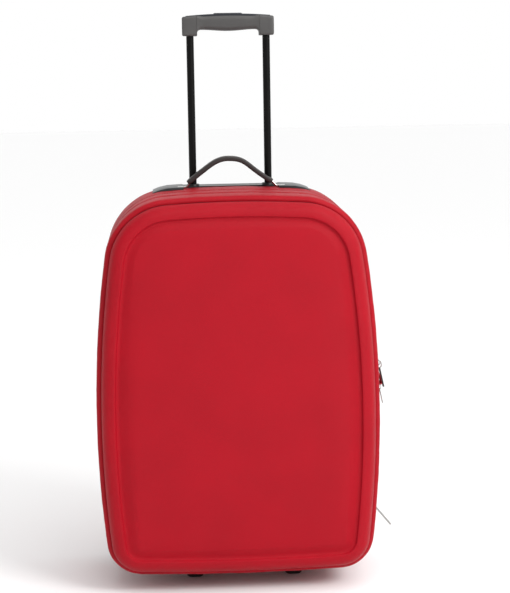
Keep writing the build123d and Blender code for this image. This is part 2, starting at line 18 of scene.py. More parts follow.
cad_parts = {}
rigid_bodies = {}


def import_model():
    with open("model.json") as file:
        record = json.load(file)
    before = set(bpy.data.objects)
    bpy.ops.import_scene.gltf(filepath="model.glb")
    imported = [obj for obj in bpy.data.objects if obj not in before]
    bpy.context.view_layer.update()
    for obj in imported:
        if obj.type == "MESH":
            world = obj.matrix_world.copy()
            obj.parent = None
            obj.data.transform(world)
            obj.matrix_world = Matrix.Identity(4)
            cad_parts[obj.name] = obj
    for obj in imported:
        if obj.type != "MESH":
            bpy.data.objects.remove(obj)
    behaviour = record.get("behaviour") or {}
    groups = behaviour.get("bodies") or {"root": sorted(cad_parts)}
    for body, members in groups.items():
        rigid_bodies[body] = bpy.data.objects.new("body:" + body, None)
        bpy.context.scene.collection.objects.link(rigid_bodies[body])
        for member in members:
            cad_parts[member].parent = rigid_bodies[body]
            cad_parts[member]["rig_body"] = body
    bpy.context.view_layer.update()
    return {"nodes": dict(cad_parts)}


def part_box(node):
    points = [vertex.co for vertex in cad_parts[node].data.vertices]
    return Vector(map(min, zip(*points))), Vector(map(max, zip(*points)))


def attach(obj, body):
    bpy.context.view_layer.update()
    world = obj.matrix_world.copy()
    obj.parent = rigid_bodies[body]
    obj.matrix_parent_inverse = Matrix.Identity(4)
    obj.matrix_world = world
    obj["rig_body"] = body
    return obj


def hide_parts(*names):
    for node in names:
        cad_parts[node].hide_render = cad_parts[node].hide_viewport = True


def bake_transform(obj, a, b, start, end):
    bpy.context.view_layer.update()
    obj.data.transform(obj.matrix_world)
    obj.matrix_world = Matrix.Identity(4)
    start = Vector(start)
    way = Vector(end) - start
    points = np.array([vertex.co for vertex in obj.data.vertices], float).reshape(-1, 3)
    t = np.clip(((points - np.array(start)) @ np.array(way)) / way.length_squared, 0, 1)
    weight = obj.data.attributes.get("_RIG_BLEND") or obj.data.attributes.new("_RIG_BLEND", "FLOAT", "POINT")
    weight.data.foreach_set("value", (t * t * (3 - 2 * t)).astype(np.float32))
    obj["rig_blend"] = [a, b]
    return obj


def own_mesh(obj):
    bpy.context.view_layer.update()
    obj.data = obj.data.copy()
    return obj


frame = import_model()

# %% [markdown]
# ## Camera
# The case is seen from a little above and a little to its left, through a long lens. The camera is
# placed first. Its direction is built from three turns: yaw about the upright, pitch down, and a
# slight roll.

# %% Camera
CAMERA_PLACE = Vector((-0.1111, -2.7334, 0.9289))
CAMERA_YAW = math.radians(-3.06)
CAMERA_PITCH = math.radians(9.0)
CAMERA_ROLL = math.radians(-0.9)
SENSOR = 36.0
LENS_TO_SENSOR = 2.698          # focal length over the longer side of the sensor


CAMERA_REACH = 50             # the farthest thing it sees, in metres


def point_camera():
    """A camera that looks along +Y, turned by yaw, pitch and roll."""
    yaw, pitch, roll = CAMERA_YAW, CAMERA_PITCH, CAMERA_ROLL
    ahead = Vector((-math.sin(yaw) * math.cos(pitch), math.cos(yaw) * math.cos(pitch), -math.sin(pitch)))
    level = Vector((math.cos(yaw), math.sin(yaw), 0))
    upright = level.cross(ahead)
    right = level * math.cos(roll) + upright * math.sin(roll)
    up = upright * math.cos(roll) - level * math.sin(roll)
    data = bpy.data.cameras.new("camera")
    data.sensor_width = SENSOR
    data.lens = SENSOR * LENS_TO_SENSOR
    data.clip_end = CAMERA_REACH
    camera = bpy.data.objects.new("camera", data)
    bpy.context.scene.collection.objects.link(camera)
    turn = Matrix((right, up, -ahead)).transposed().to_4x4()
    camera.matrix_world = Matrix.Translation(CAMERA_PLACE) @ turn
    bpy.context.scene.camera = camera
    return camera


camera = point_camera()
print("camera lens", round(camera.data.lens, 1), "mm")

# %% [markdown]
# ## The case outline
# Seen from the front, the case is bounded by four large arcs, and its corners are rounded with
# smaller arcs. An arc stays an arc when the outline grows or shrinks, so one list of centres, radii
# and directions describes every seam, zip and band of the case. Each ring of vertices follows this
# list.

# %% Outline of the case
MM = 0.001
ALONG_X = Vector((1, 0, 0))
ALONG_Y = Vector((0, 1, 0))
ALONG_Z = Vector((0, 0, 1))
seam_low, seam_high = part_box("front_panel")
TOP_ARC = 1683 * MM
SIDE_ARC = 1901 * MM
BOTTOM_ARC = 3956 * MM
TOP_CORNER = 104 * MM
BOTTOM_CORNER = 51 * MM
WIDEST_ABOVE_SEAM = 259 * MM


def right_crossing(centre_a, radius_a, centre_b, radius_b):
    """The right-hand point where two circles cross."""
    span = centre_b - centre_a
    along = (radius_a**2 - radius_b**2 + span.length_squared) / (2 * span.length)
    across = math.sqrt(radius_a**2 - along**2)
    ahead = span.normalized()
    sideways = Vector((-ahead.y, ahead.x))
    middle = centre_a + ahead * along
    return max(middle + sideways * across, middle - sideways * across, key=lambda point: point.x)


def heading(vector):
    """The angle of a flat vector."""
    return math.atan2(vector.y, vector.x)


def half_outline():
    """Arcs of the right half, from bottom to top: centre, radius, first angle, last angle, steps."""
    top_middle = Vector((0, seam_high.z - TOP_ARC))
    bottom_middle = Vector((0, seam_low.z + BOTTOM_ARC))
    side_middle = Vector((seam_high.x - SIDE_ARC, seam_low.z + WIDEST_ABOVE_SEAM))
    high = right_crossing(side_middle, SIDE_ARC - TOP_CORNER, top_middle, TOP_ARC - TOP_CORNER)
    low = right_crossing(side_middle, SIDE_ARC - BOTTOM_CORNER, bottom_middle, BOTTOM_ARC - BOTTOM_CORNER)
    turns = [
        -math.pi / 2,
        heading(low - bottom_middle),
        heading(low - side_middle),
        heading(high - side_middle),
        heading(high - top_middle),
        math.pi / 2,
    ]
    arcs = [
        (bottom_middle, BOTTOM_ARC, 24),
        (low, BOTTOM_CORNER, 18),
        (side_middle, SIDE_ARC, 64),
        (high, TOP_CORNER, 22),
        (top_middle, TOP_ARC, 20),
    ]
    return [(*arc[:2], turns[k], turns[k + 1], arc[2]) for k, arc in enumerate(arcs)]


def ring_tables():
    """For each vertex of a ring: its arc's centre and radius, its direction, its run along the seam."""
    centres, radii, ways = [], [], []
    for side in (1, -1):
        for centre, radius, first, last, steps in half_outline()[::side]:
            start, stop = (first, last)[::side]
            for k in range(steps):
                angle = start + (stop - start) * k / steps
                centres.append((side * centre.x, centre.y))
                radii.append(radius)
                ways.append((side * math.cos(angle), math.sin(angle)))
    centres, radii, ways = np.array(centres), np.array(radii), np.array(ways)
    seam = centres + radii[:, None] * ways
    steps = np.linalg.norm(np.roll(seam, -1, axis=0) - seam, axis=1)
    return centres, radii, ways, np.concatenate([[0], np.cumsum(steps)])


ring_centre, ring_radius, ring_way, ring_run = ring_tables()
RING = len(ring_centre)
PERIMETER = float(ring_run[-1])
print("outline", RING, "steps,", round(PERIMETER, 3), "m around the seam")

# %% [markdown]
# ## Rings
# Almost every cloth part of the case is a band that follows the outline, so it is made the way a
# band is sewn: one ring of edges is drawn, and it is extruded from station to station across the
# band. A station is an offset outwards from the seam line and a depth. The ring starts as a circle
# primitive, and each new edge loop comes from the extrude operator. Every vertex remembers its step
# along the outline, its station and its run across the band. The step and the run give the cloth
# its own UV map.


# %% Selecting and editing
def object_mode():
    """Leave edit mode if it is on, and deselect everything."""
    if bpy.context.object is not None and bpy.context.object.mode != "OBJECT":
        bpy.ops.object.mode_set(mode="OBJECT")
    bpy.ops.object.select_all(action="DESELECT")


def only(piece):
    """Make one object the selected and active one."""
    object_mode()
    piece.select_set(True)
    bpy.context.view_layer.objects.active = piece


@contextmanager
def editing(piece):
    """Edit mode on one piece with everything selected, and object mode again afterwards."""
    only(piece)
    bpy.ops.object.mode_set(mode="EDIT")
    bpy.ops.mesh.select_mode(type="VERT")
    bpy.ops.mesh.select_all(action="SELECT")
    yield
    bpy.ops.object.mode_set(mode="OBJECT")


def face_outwards():
    """Turn every face of the piece outwards."""
    bpy.ops.mesh.select_all(action="SELECT")
    bpy.ops.mesh.normals_make_consistent(inside=False)


def select_station(piece, station):
    """Select the edges of one section."""
    bpy.ops.mesh.select_mode(type="VERT")
    bpy.ops.mesh.select_all(action="DESELECT")
    cage = bmesh.from_edit_mesh(piece.data)
    station_layer = cage.verts.layers.int["station"]
    for vertex in cage.verts:
        vertex.select = vertex[station_layer] == station
    cage.select_flush(True)
    bmesh.update_edit_mesh(piece.data)


# %% Lofts and rings
TOUCHING = 1e-6                 # points closer than this are one point


def loft(name, sections, ends="capped", runs=None):
    """Extrude a loop of edges through sections. The ends are capped, joined to each other, or open."""
    object_mode()
    bpy.ops.mesh.primitive_circle_add(vertices=len(sections[0]), fill_type="NOTHING")
    piece = bpy.context.object
    piece.name = piece.data.name = name
    route = list(sections) + (list(sections[:1]) if ends == "joined" else [])
    with editing(piece):
        cage = bmesh.from_edit_mesh(piece.data)
        for layer in ("step", "station"):
            cage.verts.layers.int.new(layer)
        cage.verts.layers.float.new("across")
        step = cage.verts.layers.int["step"]
        for k, vertex in enumerate(cage.verts):
            vertex[step] = k
        for k, section in enumerate(route):
            if k:
                bpy.ops.mesh.extrude_edges_move()
            cage = bmesh.from_edit_mesh(piece.data)
            step, station = (cage.verts.layers.int[layer] for layer in ("step", "station"))
            across = cage.verts.layers.float["across"]
            for vertex in cage.verts:
                if vertex.select:
                    vertex.co = section[vertex[step]]
                    vertex[station] = k
                    vertex[across] = runs[k] if runs else 0.0
            bmesh.update_edit_mesh(piece.data)
        if ends == "capped":
            for end in (0, len(route) - 1):
                select_station(piece, end)
                bpy.ops.mesh.edge_face_add()
        if ends == "joined":
            bpy.ops.mesh.select_all(action="SELECT")
            bpy.ops.mesh.remove_doubles(threshold=TOUCHING)
        if ends != "open":
            face_outwards()
    return piece


# %% [markdown]
# A ring is a loft whose sections are the outline itself, moved outwards and back. Sewn cloth is
# never quite even, so a ring may ripple by a fraction of a millimetre. The cloth then gets its own
# UV map, in metres, because a weave must run along each band and not through it.


# %% Rings and their cloth
def pucker(step, size, waves, phase):
    """A slow, uneven ripple along the outline, as sewn cloth has: three waves out of step."""
    turn = 2 * math.pi * ring_run[step] / PERIMETER
    ripple = math.sin(waves * turn + phase) + 0.6 * math.sin(2.7 * waves * turn + 1.3 + phase)
    return size * (ripple + 0.4 * math.sin(5.1 * waves * turn + 2.1 * phase))


def soft_ripple(step):
    """The unevenness of a sewn band."""
    return pucker(step, 0.16 * MM, waves=23, phase=0.4)


def ring_section(grow, depth, ripple):
    """The outline moved outwards by grow, at a depth, both in millimetres."""
    section = []
    for step in range(RING):
        reach = ring_radius[step] + grow * MM + (ripple(step) if ripple else 0.0)
        x, z = ring_centre[step] + reach * ring_way[step]
        section.append(Vector((x, depth * MM, z)))
    return section


def ring_piece(name, stations, ends="joined", ripple=None):
    """A loft along the outline through stations, each an offset outwards and a depth in millimetres."""
    runs = [0.0]
    for here, there in zip(stations, stations[1:] + stations[:1]):
        runs.append(runs[-1] + math.dist(here, there) * MM)
    return loft(name, [ring_section(grow, depth, ripple) for grow, depth in stations], ends, runs)


def arc_stations(centre, radius, first, last, steps):
    """Stations on an arc: angle 0 points outwards from the case, 90 degrees to the back."""
    places = []
    for k in range(steps + 1):
        angle = math.radians(first + (last - first) * k / steps)
        places.append((centre[0] + radius * math.cos(angle), centre[1] + radius * math.sin(angle)))
    return places


FLAT_FACE = 0.75                # a face whose normal has more than this along Y looks to front or back


def lay_cloth(piece):
    """UVs in metres: along and across the band on its sides, flat X and Z on faces to front or back."""
    mesh = piece.data
    uv = mesh.uv_layers.new(name="cloth")
    step = np.zeros(len(mesh.vertices), np.int32)
    mesh.attributes["step"].data.foreach_get("value", step)
    across = np.zeros(len(mesh.vertices), np.float32)
    mesh.attributes["across"].data.foreach_get("value", across)
    for face in mesh.polygons:
        flat = abs(face.normal.y) > FLAT_FACE
        runs = [ring_run[step[v]] for v in face.vertices]
        wraps = max(runs) - min(runs) > PERIMETER / 2
        for corner, v, run in zip(face.loop_indices, face.vertices, runs):
            place = mesh.vertices[v].co
            if flat:
                uv.data[corner].uv = (place.x, place.z)
            else:
                uv.data[corner].uv = (run + (PERIMETER if wraps and run < PERIMETER / 2 else 0), across[v])


# %% [markdown]
# Every finished piece is shaded smooth except at its sharp edges, gets its finish, and is tied to
# the body that carries it, so that it moves with its joint.


# %% Settling a piece
def shade(piece, degrees):
    """Smooth shading that keeps edges sharper than the angle."""
    only(piece)
    bpy.ops.object.shade_smooth_by_angle(angle=math.radians(degrees), keep_sharp_edges=False)


def finish_with(piece, *materials):
    """Give a piece its finishes, the first for every face unless told otherwise."""
    piece.data.materials.clear()
    for material in materials:
        piece.data.materials.append(material)


def settle(piece, body, material, nodes=(), angle=35):
    """Shading, finish, body and the CAD nodes that a piece stands for."""
    shade(piece, angle)
    if material:
        finish_with(piece, material)
    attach(piece, body)
    if nodes:
        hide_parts(*nodes)
    return piece


def apply_modifier(piece, kind, **settings):
    """Add a modifier, set it and apply it."""
    only(piece)
    modifier = piece.modifiers.new(kind, kind)
    for setting, value in settings.items():
        setattr(modifier, setting, value)
    bpy.ops.object.modifier_apply(modifier=modifier.name)


def triangles(*pieces):
    """How many triangles some pieces have."""
    return sum(len(face.vertices) - 2 for piece in pieces for face in piece.data.polygons)


print("a ring has", RING, "vertices")

# %% [markdown]
# ## Finishes
# Woven nylon is a plain weave: warp and weft threads pass over and under each other like a
# chessboard. The pattern is worked out from the UV map in metres, so a thread has the same width
# everywhere. Where a CAD piece has no UV map, the same weave reads Object coordinates, on whichever
# two axes face the surface.


# %% Node helpers
def new_material(name):
    """An empty node material with a shader and an output."""
    material = bpy.data.materials.new(name)
    material.use_nodes = True
    nodes = material.node_tree.nodes
    nodes.clear()
    output = nodes.new("ShaderNodeOutputMaterial")
    shader = nodes.new("ShaderNodeBsdfPrincipled")
    material.node_tree.links.new(shader.outputs["BSDF"], output.inputs["Surface"])
    return material, shader


def feed(material, node, inputs):
    """Fill sockets of a node. A value is a number, a colour, or another socket to join to it."""
    for name, value in inputs.items():
        target = node.inputs[name]
        if isinstance(value, bpy.types.NodeSocket):
            material.node_tree.links.new(value, target)
        else:
            target.default_value = (*value, 1) if target.type == "RGBA" else value
    return node


def add(material, kind, inputs=None, **settings):
    """Add a node, set its properties and fill its sockets."""
    node = material.node_tree.nodes.new(f"ShaderNode{kind}")
    for setting, value in settings.items():
        setattr(node, setting, value)
    return feed(material, node, inputs or {})


def math_node(material, operation, *values):
    """A Math node of one to three values."""
    return add(material, "Math", dict(enumerate(values)), operation=operation).outputs[0]


def choose(material, chooser, when_off, when_on):
    """One of two values, picked by a third."""
    return add(material, "Mix", {0: chooser, 2: when_off, 3: when_on}, data_type="FLOAT").outputs[0]


def multiply_colours(material, first, second):
    """Two colours multiplied."""
    inputs = {0: 1.0, 6: first, 7: second}
    return add(material, "Mix", inputs, data_type="RGBA", blend_type="MULTIPLY").outputs[2]


def ramp_node(material, value, *stops):
    """A colour ramp. stops are (position, colour), and a lone number is a grey."""
    node = add(material, "ValToRGB", {"Fac": value})
    for element, (position, colour) in zip(node.color_ramp.elements, stops):
        element.position = position
        element.color = (*(colour if isinstance(colour, tuple) else (colour,) * 3), 1)
    return node.outputs["Color"]


def noise_node(material, place, scale, detail):
    """Noise of a given scale, in cells per metre."""
    return add(material, "TexNoise", {"Scale": scale, "Detail": detail, "Vector": place}).outputs["Fac"]


def bump_node(material, height, strength, distance):
    """A bump from a height between 0 and 1."""
    inputs = {"Strength": strength, "Distance": distance, "Height": height}
    return add(material, "Bump", inputs).outputs["Normal"]


def object_place(material):
    """Object coordinates."""
    return add(material, "TexCoord").outputs["Object"]


# %% [markdown]
# The weave is made of sines: each thread is a bulge, and a chessboard of cells picks which of the
# two threads is on top. Its height drives the colour, the gloss and a small bump.

# %% Woven cloth
FACING_AWAY = 0.6               # a surface whose normal has more than this along an axis faces that way
CLOUD_SCALE = 9.0               # slow changes of tone in cloth
GRAIN_SCALE = 900.0


def facing_pair(material):
    """Two Object axes that lie along the surface, whichever way it faces."""
    coordinate = add(material, "TexCoord")
    place = add(material, "SeparateXYZ", {0: coordinate.outputs["Object"]})
    facing = add(material, "SeparateXYZ", {0: coordinate.outputs["Normal"]})
    pair = []
    for axis in "XZ":
        tilt = math_node(material, "ABSOLUTE", facing.outputs[axis])
        faces = math_node(material, "GREATER_THAN", tilt, FACING_AWAY)
        pair.append(choose(material, faces, place.outputs[axis], place.outputs["Y"]))
    return pair


def cloth_pair(material):
    """The two directions of the cloth's own UV map."""
    own_map = add(material, "UVMap", uv_map="cloth")
    place = add(material, "SeparateXYZ", {0: own_map.outputs["UV"]})
    return place.outputs["X"], place.outputs["Y"]


def weave_height(material, pair, thread):
    """A plain weave: 1 on top of a thread, 0 in the gap between threads."""
    threads = [math_node(material, "DIVIDE", direction, thread) for direction in pair]
    cells = math_node(material, "ADD", *(math_node(material, "FLOOR", way) for way in threads))
    over = math_node(material, "PINGPONG", cells, 1.0)
    bulges = []
    for way in threads:
        wave = math_node(material, "SINE", math_node(material, "MULTIPLY", way, math.pi))
        bulges.append(math_node(material, "ABSOLUTE", wave))
    return math_node(material, "POWER", choose(material, over, *bulges), 0.6)


def woven(name, deep, bright, thread, roughness=0.62, sheen=0.25, from_uv=True, mottle=0.25):
    """Woven nylon: bright threads, deep gaps, and a faint cloudy variation. thread is in millimetres."""
    material, shader = new_material(name)
    pair = cloth_pair(material) if from_uv else facing_pair(material)
    height = weave_height(material, pair, thread * MM)
    place = object_place(material)
    clouds = noise_node(material, place, CLOUD_SCALE, 4.0)
    grain = noise_node(material, place, GRAIN_SCALE, 2.0)
    threads = add(material, "Mix", {0: height, 6: deep, 7: bright}, data_type="RGBA").outputs[2]
    toned = multiply_colours(material, threads, ramp_node(material, clouds, (0.3, 1 - mottle), (0.7, 1.0)))
    speck = ramp_node(material, grain, (0.35, 0.86), (0.65, 1.0))
    feed(material, shader, {
        "Base Color": multiply_colours(material, toned, speck),
        "Roughness": math_node(material, "MULTIPLY_ADD", height, -0.12, roughness + 0.08),
        "Sheen Weight": sheen,
        "Sheen Tint": bright,
        "Sheen Roughness": 0.45,
        "Specular IOR Level": 0.16,
        "Normal": bump_node(material, height, 0.7, 0.00025),
    })
    return material


# %% [markdown]
# Moulded plastic has a fine spark grain from its mould, and drawn metal has long fine scratches.
# Both are noise in Object coordinates, once even and once stretched along Z.


# %% Plastic and metal
def moulded(name, colour, roughness, grain=2500.0, bump=0.00004, gloss=0.4):
    """Moulded plastic with a fine spark texture, slightly paler on its raised grain."""
    material, shader = new_material(name)
    place = object_place(material)
    fine = noise_node(material, place, grain, 2.0)
    broad = noise_node(material, place, 25.0, 3.0)
    skin = ramp_node(material, broad, (0.35, colour), (0.75, tuple(min(1.0, c * 1.25) for c in colour)))
    feed(material, shader, {
        "Base Color": multiply_colours(material, skin, ramp_node(material, fine, (0.3, 0.88), (0.7, 1.0))),
        "Roughness": math_node(material, "MULTIPLY_ADD", fine, 0.16, roughness - 0.08),
        "Specular IOR Level": gloss,
        "Normal": bump_node(material, fine, 0.6, bump),
    })
    return material


def metal(name, colour, roughness, scratch=0.08):
    """Bare metal with fine scratches drawn out along Z."""
    material, shader = new_material(name)
    drawn_out = {"Scale": (1.0, 1.0, 0.04), "Vector": object_place(material)}
    lines = noise_node(material, add(material, "Mapping", drawn_out).outputs["Vector"], 1500.0, 4.0)
    feed(material, shader, {
        "Base Color": ramp_node(material, lines, (0.3, tuple(c * 0.82 for c in colour)), (0.7, colour)),
        "Roughness": math_node(material, "MULTIPLY_ADD", lines, scratch, roughness),
        "Metallic": 1.0,
        "Normal": bump_node(material, lines, 0.25, 0.00002),
    })
    return material


# %% [markdown]
# The case is one crimson nylon throughout. The tapes and threads are darker reds. The welts are a
# near-black red, which is painted shade: it stands for the shade in the groove of each seam, so that
# every seam reads as a dark line. The inside, the grip, the plate and the tyres are greys and blacks
# that differ mostly in gloss.

# %% Finishes of the case
CRIMSON = (0.46, 0.0015, 0.0125)
CRIMSON_DEEP = (0.22, 0.0005, 0.005)
front_cloth = woven("front_cloth", CRIMSON_DEEP, CRIMSON, 0.9, roughness=0.45, sheen=0.06, mottle=0.10)
side_cloth = woven("side_cloth", CRIMSON_DEEP, CRIMSON, 0.9, roughness=0.5, sheen=0.06, mottle=0.14)
tape_cloth = woven("tape_cloth", (0.045, 0.0, 0.002), (0.15, 0.0, 0.005), 0.7, roughness=0.7, sheen=0.1)
# The welt's near-black red is painted shade for the groove of each seam, not the cloth's own colour.
welt_shade_cloth = woven("welt_shade_cloth", (0.014, 0.0, 0.0005), (0.05, 0.0, 0.0015), 0.8, roughness=0.85, sheen=0.0)
LINING_GREYS = ((0.045, 0.045, 0.05), (0.13, 0.13, 0.14))
lining_cloth = woven("lining_cloth", *LINING_GREYS, 0.6, roughness=0.75)
lining_plain = woven("lining_plain", *LINING_GREYS, 0.6, roughness=0.75, from_uv=False)
coil_plastic = moulded("coil_plastic", (0.11, 0.0, 0.004), 0.4)
thread_red = moulded("thread_red", (0.24, 0.0, 0.008), 0.6)
black_coat = moulded("black_coat", (0.003, 0.0028, 0.0027), 0.38, grain=900.0, gloss=0.12)
steel = metal("steel", (0.62, 0.62, 0.61), 0.28)
chrome = metal("chrome", (0.42, 0.42, 0.41), 0.16, 0.05)
grip_grey = moulded("grip_grey", (0.058, 0.056, 0.055), 0.45)
cap_dark = moulded("cap_dark", (0.012, 0.014, 0.02), 0.38)
plate_grey = moulded("plate_grey", (0.022, 0.027, 0.028), 0.34, grain=1800.0, gloss=0.35)
black_plastic = moulded("black_plastic", (0.012, 0.011, 0.011), 0.45)
tyre_rubber = moulded("tyre_rubber", (0.022, 0.022, 0.022), 0.72, grain=1400.0, bump=0.0001)
hub_plastic = moulded("hub_plastic", (0.05, 0.05, 0.055), 0.4)
strap_skin = moulded("strap_skin", (0.024, 0.019, 0.018), 0.55, grain=1100.0, bump=0.0001)
pull_dark = moulded("pull_dark", (0.03, 0.02, 0.02), 0.4)
print("finishes", len(bpy.data.materials))

# %% [markdown]
# ## Moulded front
# The front is a sheet of foam with cloth bonded to it, pressed in a hot mould: a rounded rim, a
# crisp crease, a shallow valley, and a face that bulges like a filled sail. The rim and the valley
# are rings. The face is filled with a grid, and it is then blown out evenly: each point goes to the
# average of its neighbours and a little forward, again and again, which is what an even pressure
# does to a stretched skin.

# %% Front panel
RIM_STATIONS = (
    [(-6.0, -90.0), (-2.6, -94.0), (-1.3, -96.5)]
    + arc_stations((-20.0, -98.0), 20.0, -12, -78, 9)
    + [(-19.5, -118.4), (-22.4, -118.6), (-23.6, -118.2), (-24.4, -117.0)]
    + [(-25.6, -115.4), (-27.6, -114.5), (-30.0, -114.5), (-33.0, -115.3), (-37.0, -116.9)]
)
FACE_EDGE = (-41.0, -118.2)
FACE_CROWN = 8.5 * MM
BLOWING_ROUNDS = 2600           # enough for the bulge to settle across the whole face


def fill_station(piece, station):
    """Fill one ring with a grid of quads."""
    select_station(piece, station)
    bpy.ops.mesh.fill_grid(span=RING // 4, offset=0)


def blow_out(piece, moving, crown):
    """Bulge the moving vertices forward by crown at most, as an even pressure would, in Y only."""
    mesh = piece.data
    count = len(mesh.vertices)
    edges = np.zeros(len(mesh.edges) * 2, np.int64)
    mesh.edges.foreach_get("vertices", edges)
    edges = edges.reshape(-1, 2)
    free = np.zeros(count, bool)
    free[moving] = True
    edges = edges[free[edges].any(axis=1)]
    places = np.zeros(count * 3)
    mesh.vertices.foreach_get("co", places)
    places = places.reshape(-1, 3)
    degree = np.bincount(edges.ravel(), minlength=count).clip(1)
    bulge = np.zeros(count)
    for _ in range(BLOWING_ROUNDS):
        total = np.bincount(edges[:, 0], bulge[edges[:, 1]], count)
        total += np.bincount(edges[:, 1], bulge[edges[:, 0]], count)
        bulge = np.where(free, total / degree + 1.0, 0.0)
    places[:, 1] -= bulge / bulge.max() * crown
    mesh.vertices.foreach_set("co", places.ravel())
    mesh.update()


def make_front_panel():
    """The moulded front: rim, crease, valley and blown face."""
    stations = RIM_STATIONS + [FACE_EDGE]
    piece = ring_piece("front_panel_cloth", stations, ends="open")
    known = len(piece.data.vertices)
    with editing(piece):
        fill_station(piece, len(stations) - 1)
        face_outwards()
    blow_out(piece, slice(known, None), FACE_CROWN)
    return piece


front_panel = make_front_panel()
print("front panel", triangles(front_panel), "triangles")

# %% [markdown]
# ## Side bands, frame band and rear shell
# The soft sides are strips of the same cloth over foam, sewn edge to edge. Each band is a ring
# extruded through a closed cross-section, so that it has real thickness and a folded edge beside
# the zip. The cloth is never quite even, so the outer stations ripple by a fraction of a
# millimetre.

# %% Bands and shell
SKIN = 8.5                      # the cloth stands this far outside the seam line, in millimetres
WALL = 3.0
LINING_AT = SKIN - WALL          # the inner face of a band
LINING_MARGIN = 0.3             # a face this close to it is lining


def dress_band(piece, body, node):
    """Red cloth outside and grey lining inside for a band."""
    lay_cloth(piece)
    settle(piece, body, side_cloth, (node,), 50)
    piece.data.materials.append(lining_cloth)
    for face in piece.data.polygons:
        place = face.center
        step = piece.data.attributes["step"].data[face.vertices[0]].value
        offset = (Vector((place.x, place.z)) - Vector(ring_centre[step])).length - ring_radius[step]
        inside = offset < (LINING_AT + LINING_MARGIN) * MM
        face.material_index = int(inside and abs(face.normal.y) < 0.7)
    return piece


def band(name, front, back, body, node, fold=2.2):
    """A cloth band with folded edges, between two depths."""
    half = [(LINING_AT, fold), (LINING_AT + 0.4, 0.3), (SKIN - 1.6, 0.0), (SKIN - 0.5, 0.5), (SKIN, fold)]
    stations = [(grow, front + inwards) for grow, inwards in half] + [(SKIN + 0.25, (front + back) / 2)]
    stations += [(grow, back - inwards) for grow, inwards in reversed(half)]
    return dress_band(ring_piece(name, stations, ripple=soft_ripple), body, node)


frame_band = band("frame_band_cloth", -31.0, 16.0, "front_frame", "frame_band")

LID_STATIONS = (
    [(LINING_AT, -41.2), (LINING_AT, -86.0), (-1.0, -92.6), (-0.6, -94.4)]
    + arc_stations((0.5, -87.0), 8.0, -80, -12, 7)
    + [(SKIN + 0.2, -82.0), (SKIN + 0.5, -66.0), (SKIN + 0.25, -50.0), (SKIN, -41.5)]
    + [(SKIN - 0.5, -39.5), (SKIN - 1.6, -39.0), (LINING_AT + 0.4, -39.3)]
)
lid_band = dress_band(ring_piece("lid_band_cloth", LID_STATIONS, ripple=soft_ripple), "lid", "lid_gusset")


# %% [markdown]
# The back half is one soft shell. Its open edge carries the zip, its back is flat, and each bottom
# corner is cut away for a hard wheel housing. The single skin is bisected along the edges of the
# housing, and the faces between the cuts are deleted. Only then does the skin get its thickness.


# %% Rear shell
def pick_faces(piece, low, high):
    """Select the faces whose middle lies in a box."""
    bpy.ops.mesh.select_mode(type="FACE")
    bpy.ops.mesh.select_all(action="DESELECT")
    cage = bmesh.from_edit_mesh(piece.data)
    for face in cage.faces:
        place = face.calc_center_median()
        face.select_set(all(low[axis] < place[axis] < high[axis] for axis in range(3)))
    bmesh.update_edit_mesh(piece.data)


HOUSING_LAP = 0.8 * MM           # the cloth ends this far inside the edge of a wheel housing
BACK = 125.0                    # depth of the flat back
BACK_EDGE = 16.0                # radius of its edge


def open_corner(piece, low, high):
    """Cut a corner out of the shell for a wheel housing: four cuts, then the faces between them."""
    lap = Vector((HOUSING_LAP,) * 3)
    room = Vector((0.03, 0.08, 0.03))       # the cuts reach this far past the housing
    behind, below = Vector((0, 0.05, 0)), Vector((0, 0, 0.05))
    inner, outer = low + lap, high - lap
    cuts = [(0, inner.x), (0, outer.x), (1, inner.y), (2, outer.z)]
    with editing(piece):
        for axis, place in cuts:
            pick_faces(piece, low - room, high + room)
            at, normal = [0.0, 0.0, 0.0], [0.0, 0.0, 0.0]
            at[axis], normal[axis] = place, 1.0
            bpy.ops.mesh.bisect(plane_co=at, plane_no=normal)
        pick_faces(piece, inner - below, outer + behind)
        bpy.ops.mesh.delete(type="FACE")


def make_rear_shell():
    """A soft side with a rounded edge and a flat back, lined inside and cut out for the wheels."""
    outer = (
        [(SKIN - 1.6, 22.0), (SKIN - 0.5, 22.5), (SKIN, 24.5), (SKIN + 0.25, 60.0), (SKIN, 100.0)]
        + arc_stations((SKIN - BACK_EDGE, BACK - BACK_EDGE), BACK_EDGE, 0, 90, 8)
        + [(-24.0, BACK), (-36.0, BACK + 0.2)]
    )
    piece = ring_piece("rear_shell_cloth", outer, ends="open", ripple=soft_ripple)
    with editing(piece):
        fill_station(piece, len(outer) - 1)
        face_outwards()
    lay_cloth(piece)
    finish_with(piece, side_cloth, lining_cloth)
    for side in ("left", "right"):
        open_corner(piece, *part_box(f"wheel_housing_{side}"))
    apply_modifier(piece, "SOLIDIFY", thickness=WALL * MM, offset=-1, material_offset=1)
    return settle(piece, "tray", None, ("rear_shell",), 50)


rear_shell = make_rear_shell()
lay_cloth(front_panel)
settle(front_panel, "lid", front_cloth, ("front_panel", "lid_hoop"), 28)
print("bands", triangles(frame_band, lid_band, rear_shell), "triangles")

# %% [markdown]
# ## Welts
# The seam where the front panel meets its side band is bound with a welt: a cord wrapped in a strip
# of cloth, sewn into the seam so that it stands proud and hides the stitches. The same welt runs
# around the edge of the back. A small round section follows the outline. Its near-black colour is
# painted shade, standing for the shade in the groove of each seam.

# %% Welts
def welt(name, grow, depth, radius, body):
    """A round cord in cloth that follows the outline, near black as painted shade for the seam's groove."""
    piece = ring_piece(name, arc_stations((grow, depth), radius, 0, 330, 11), ripple=soft_ripple)
    lay_cloth(piece)
    return settle(piece, body, welt_shade_cloth, (), 80)


front_welt = welt("front_welt", -1.9, -94.9, 1.1, "lid")
back_welt = welt("back_welt", SKIN - 4.2, 121.2, 1.7, "tray")
print("welts", triangles(front_welt, back_welt), "triangles")

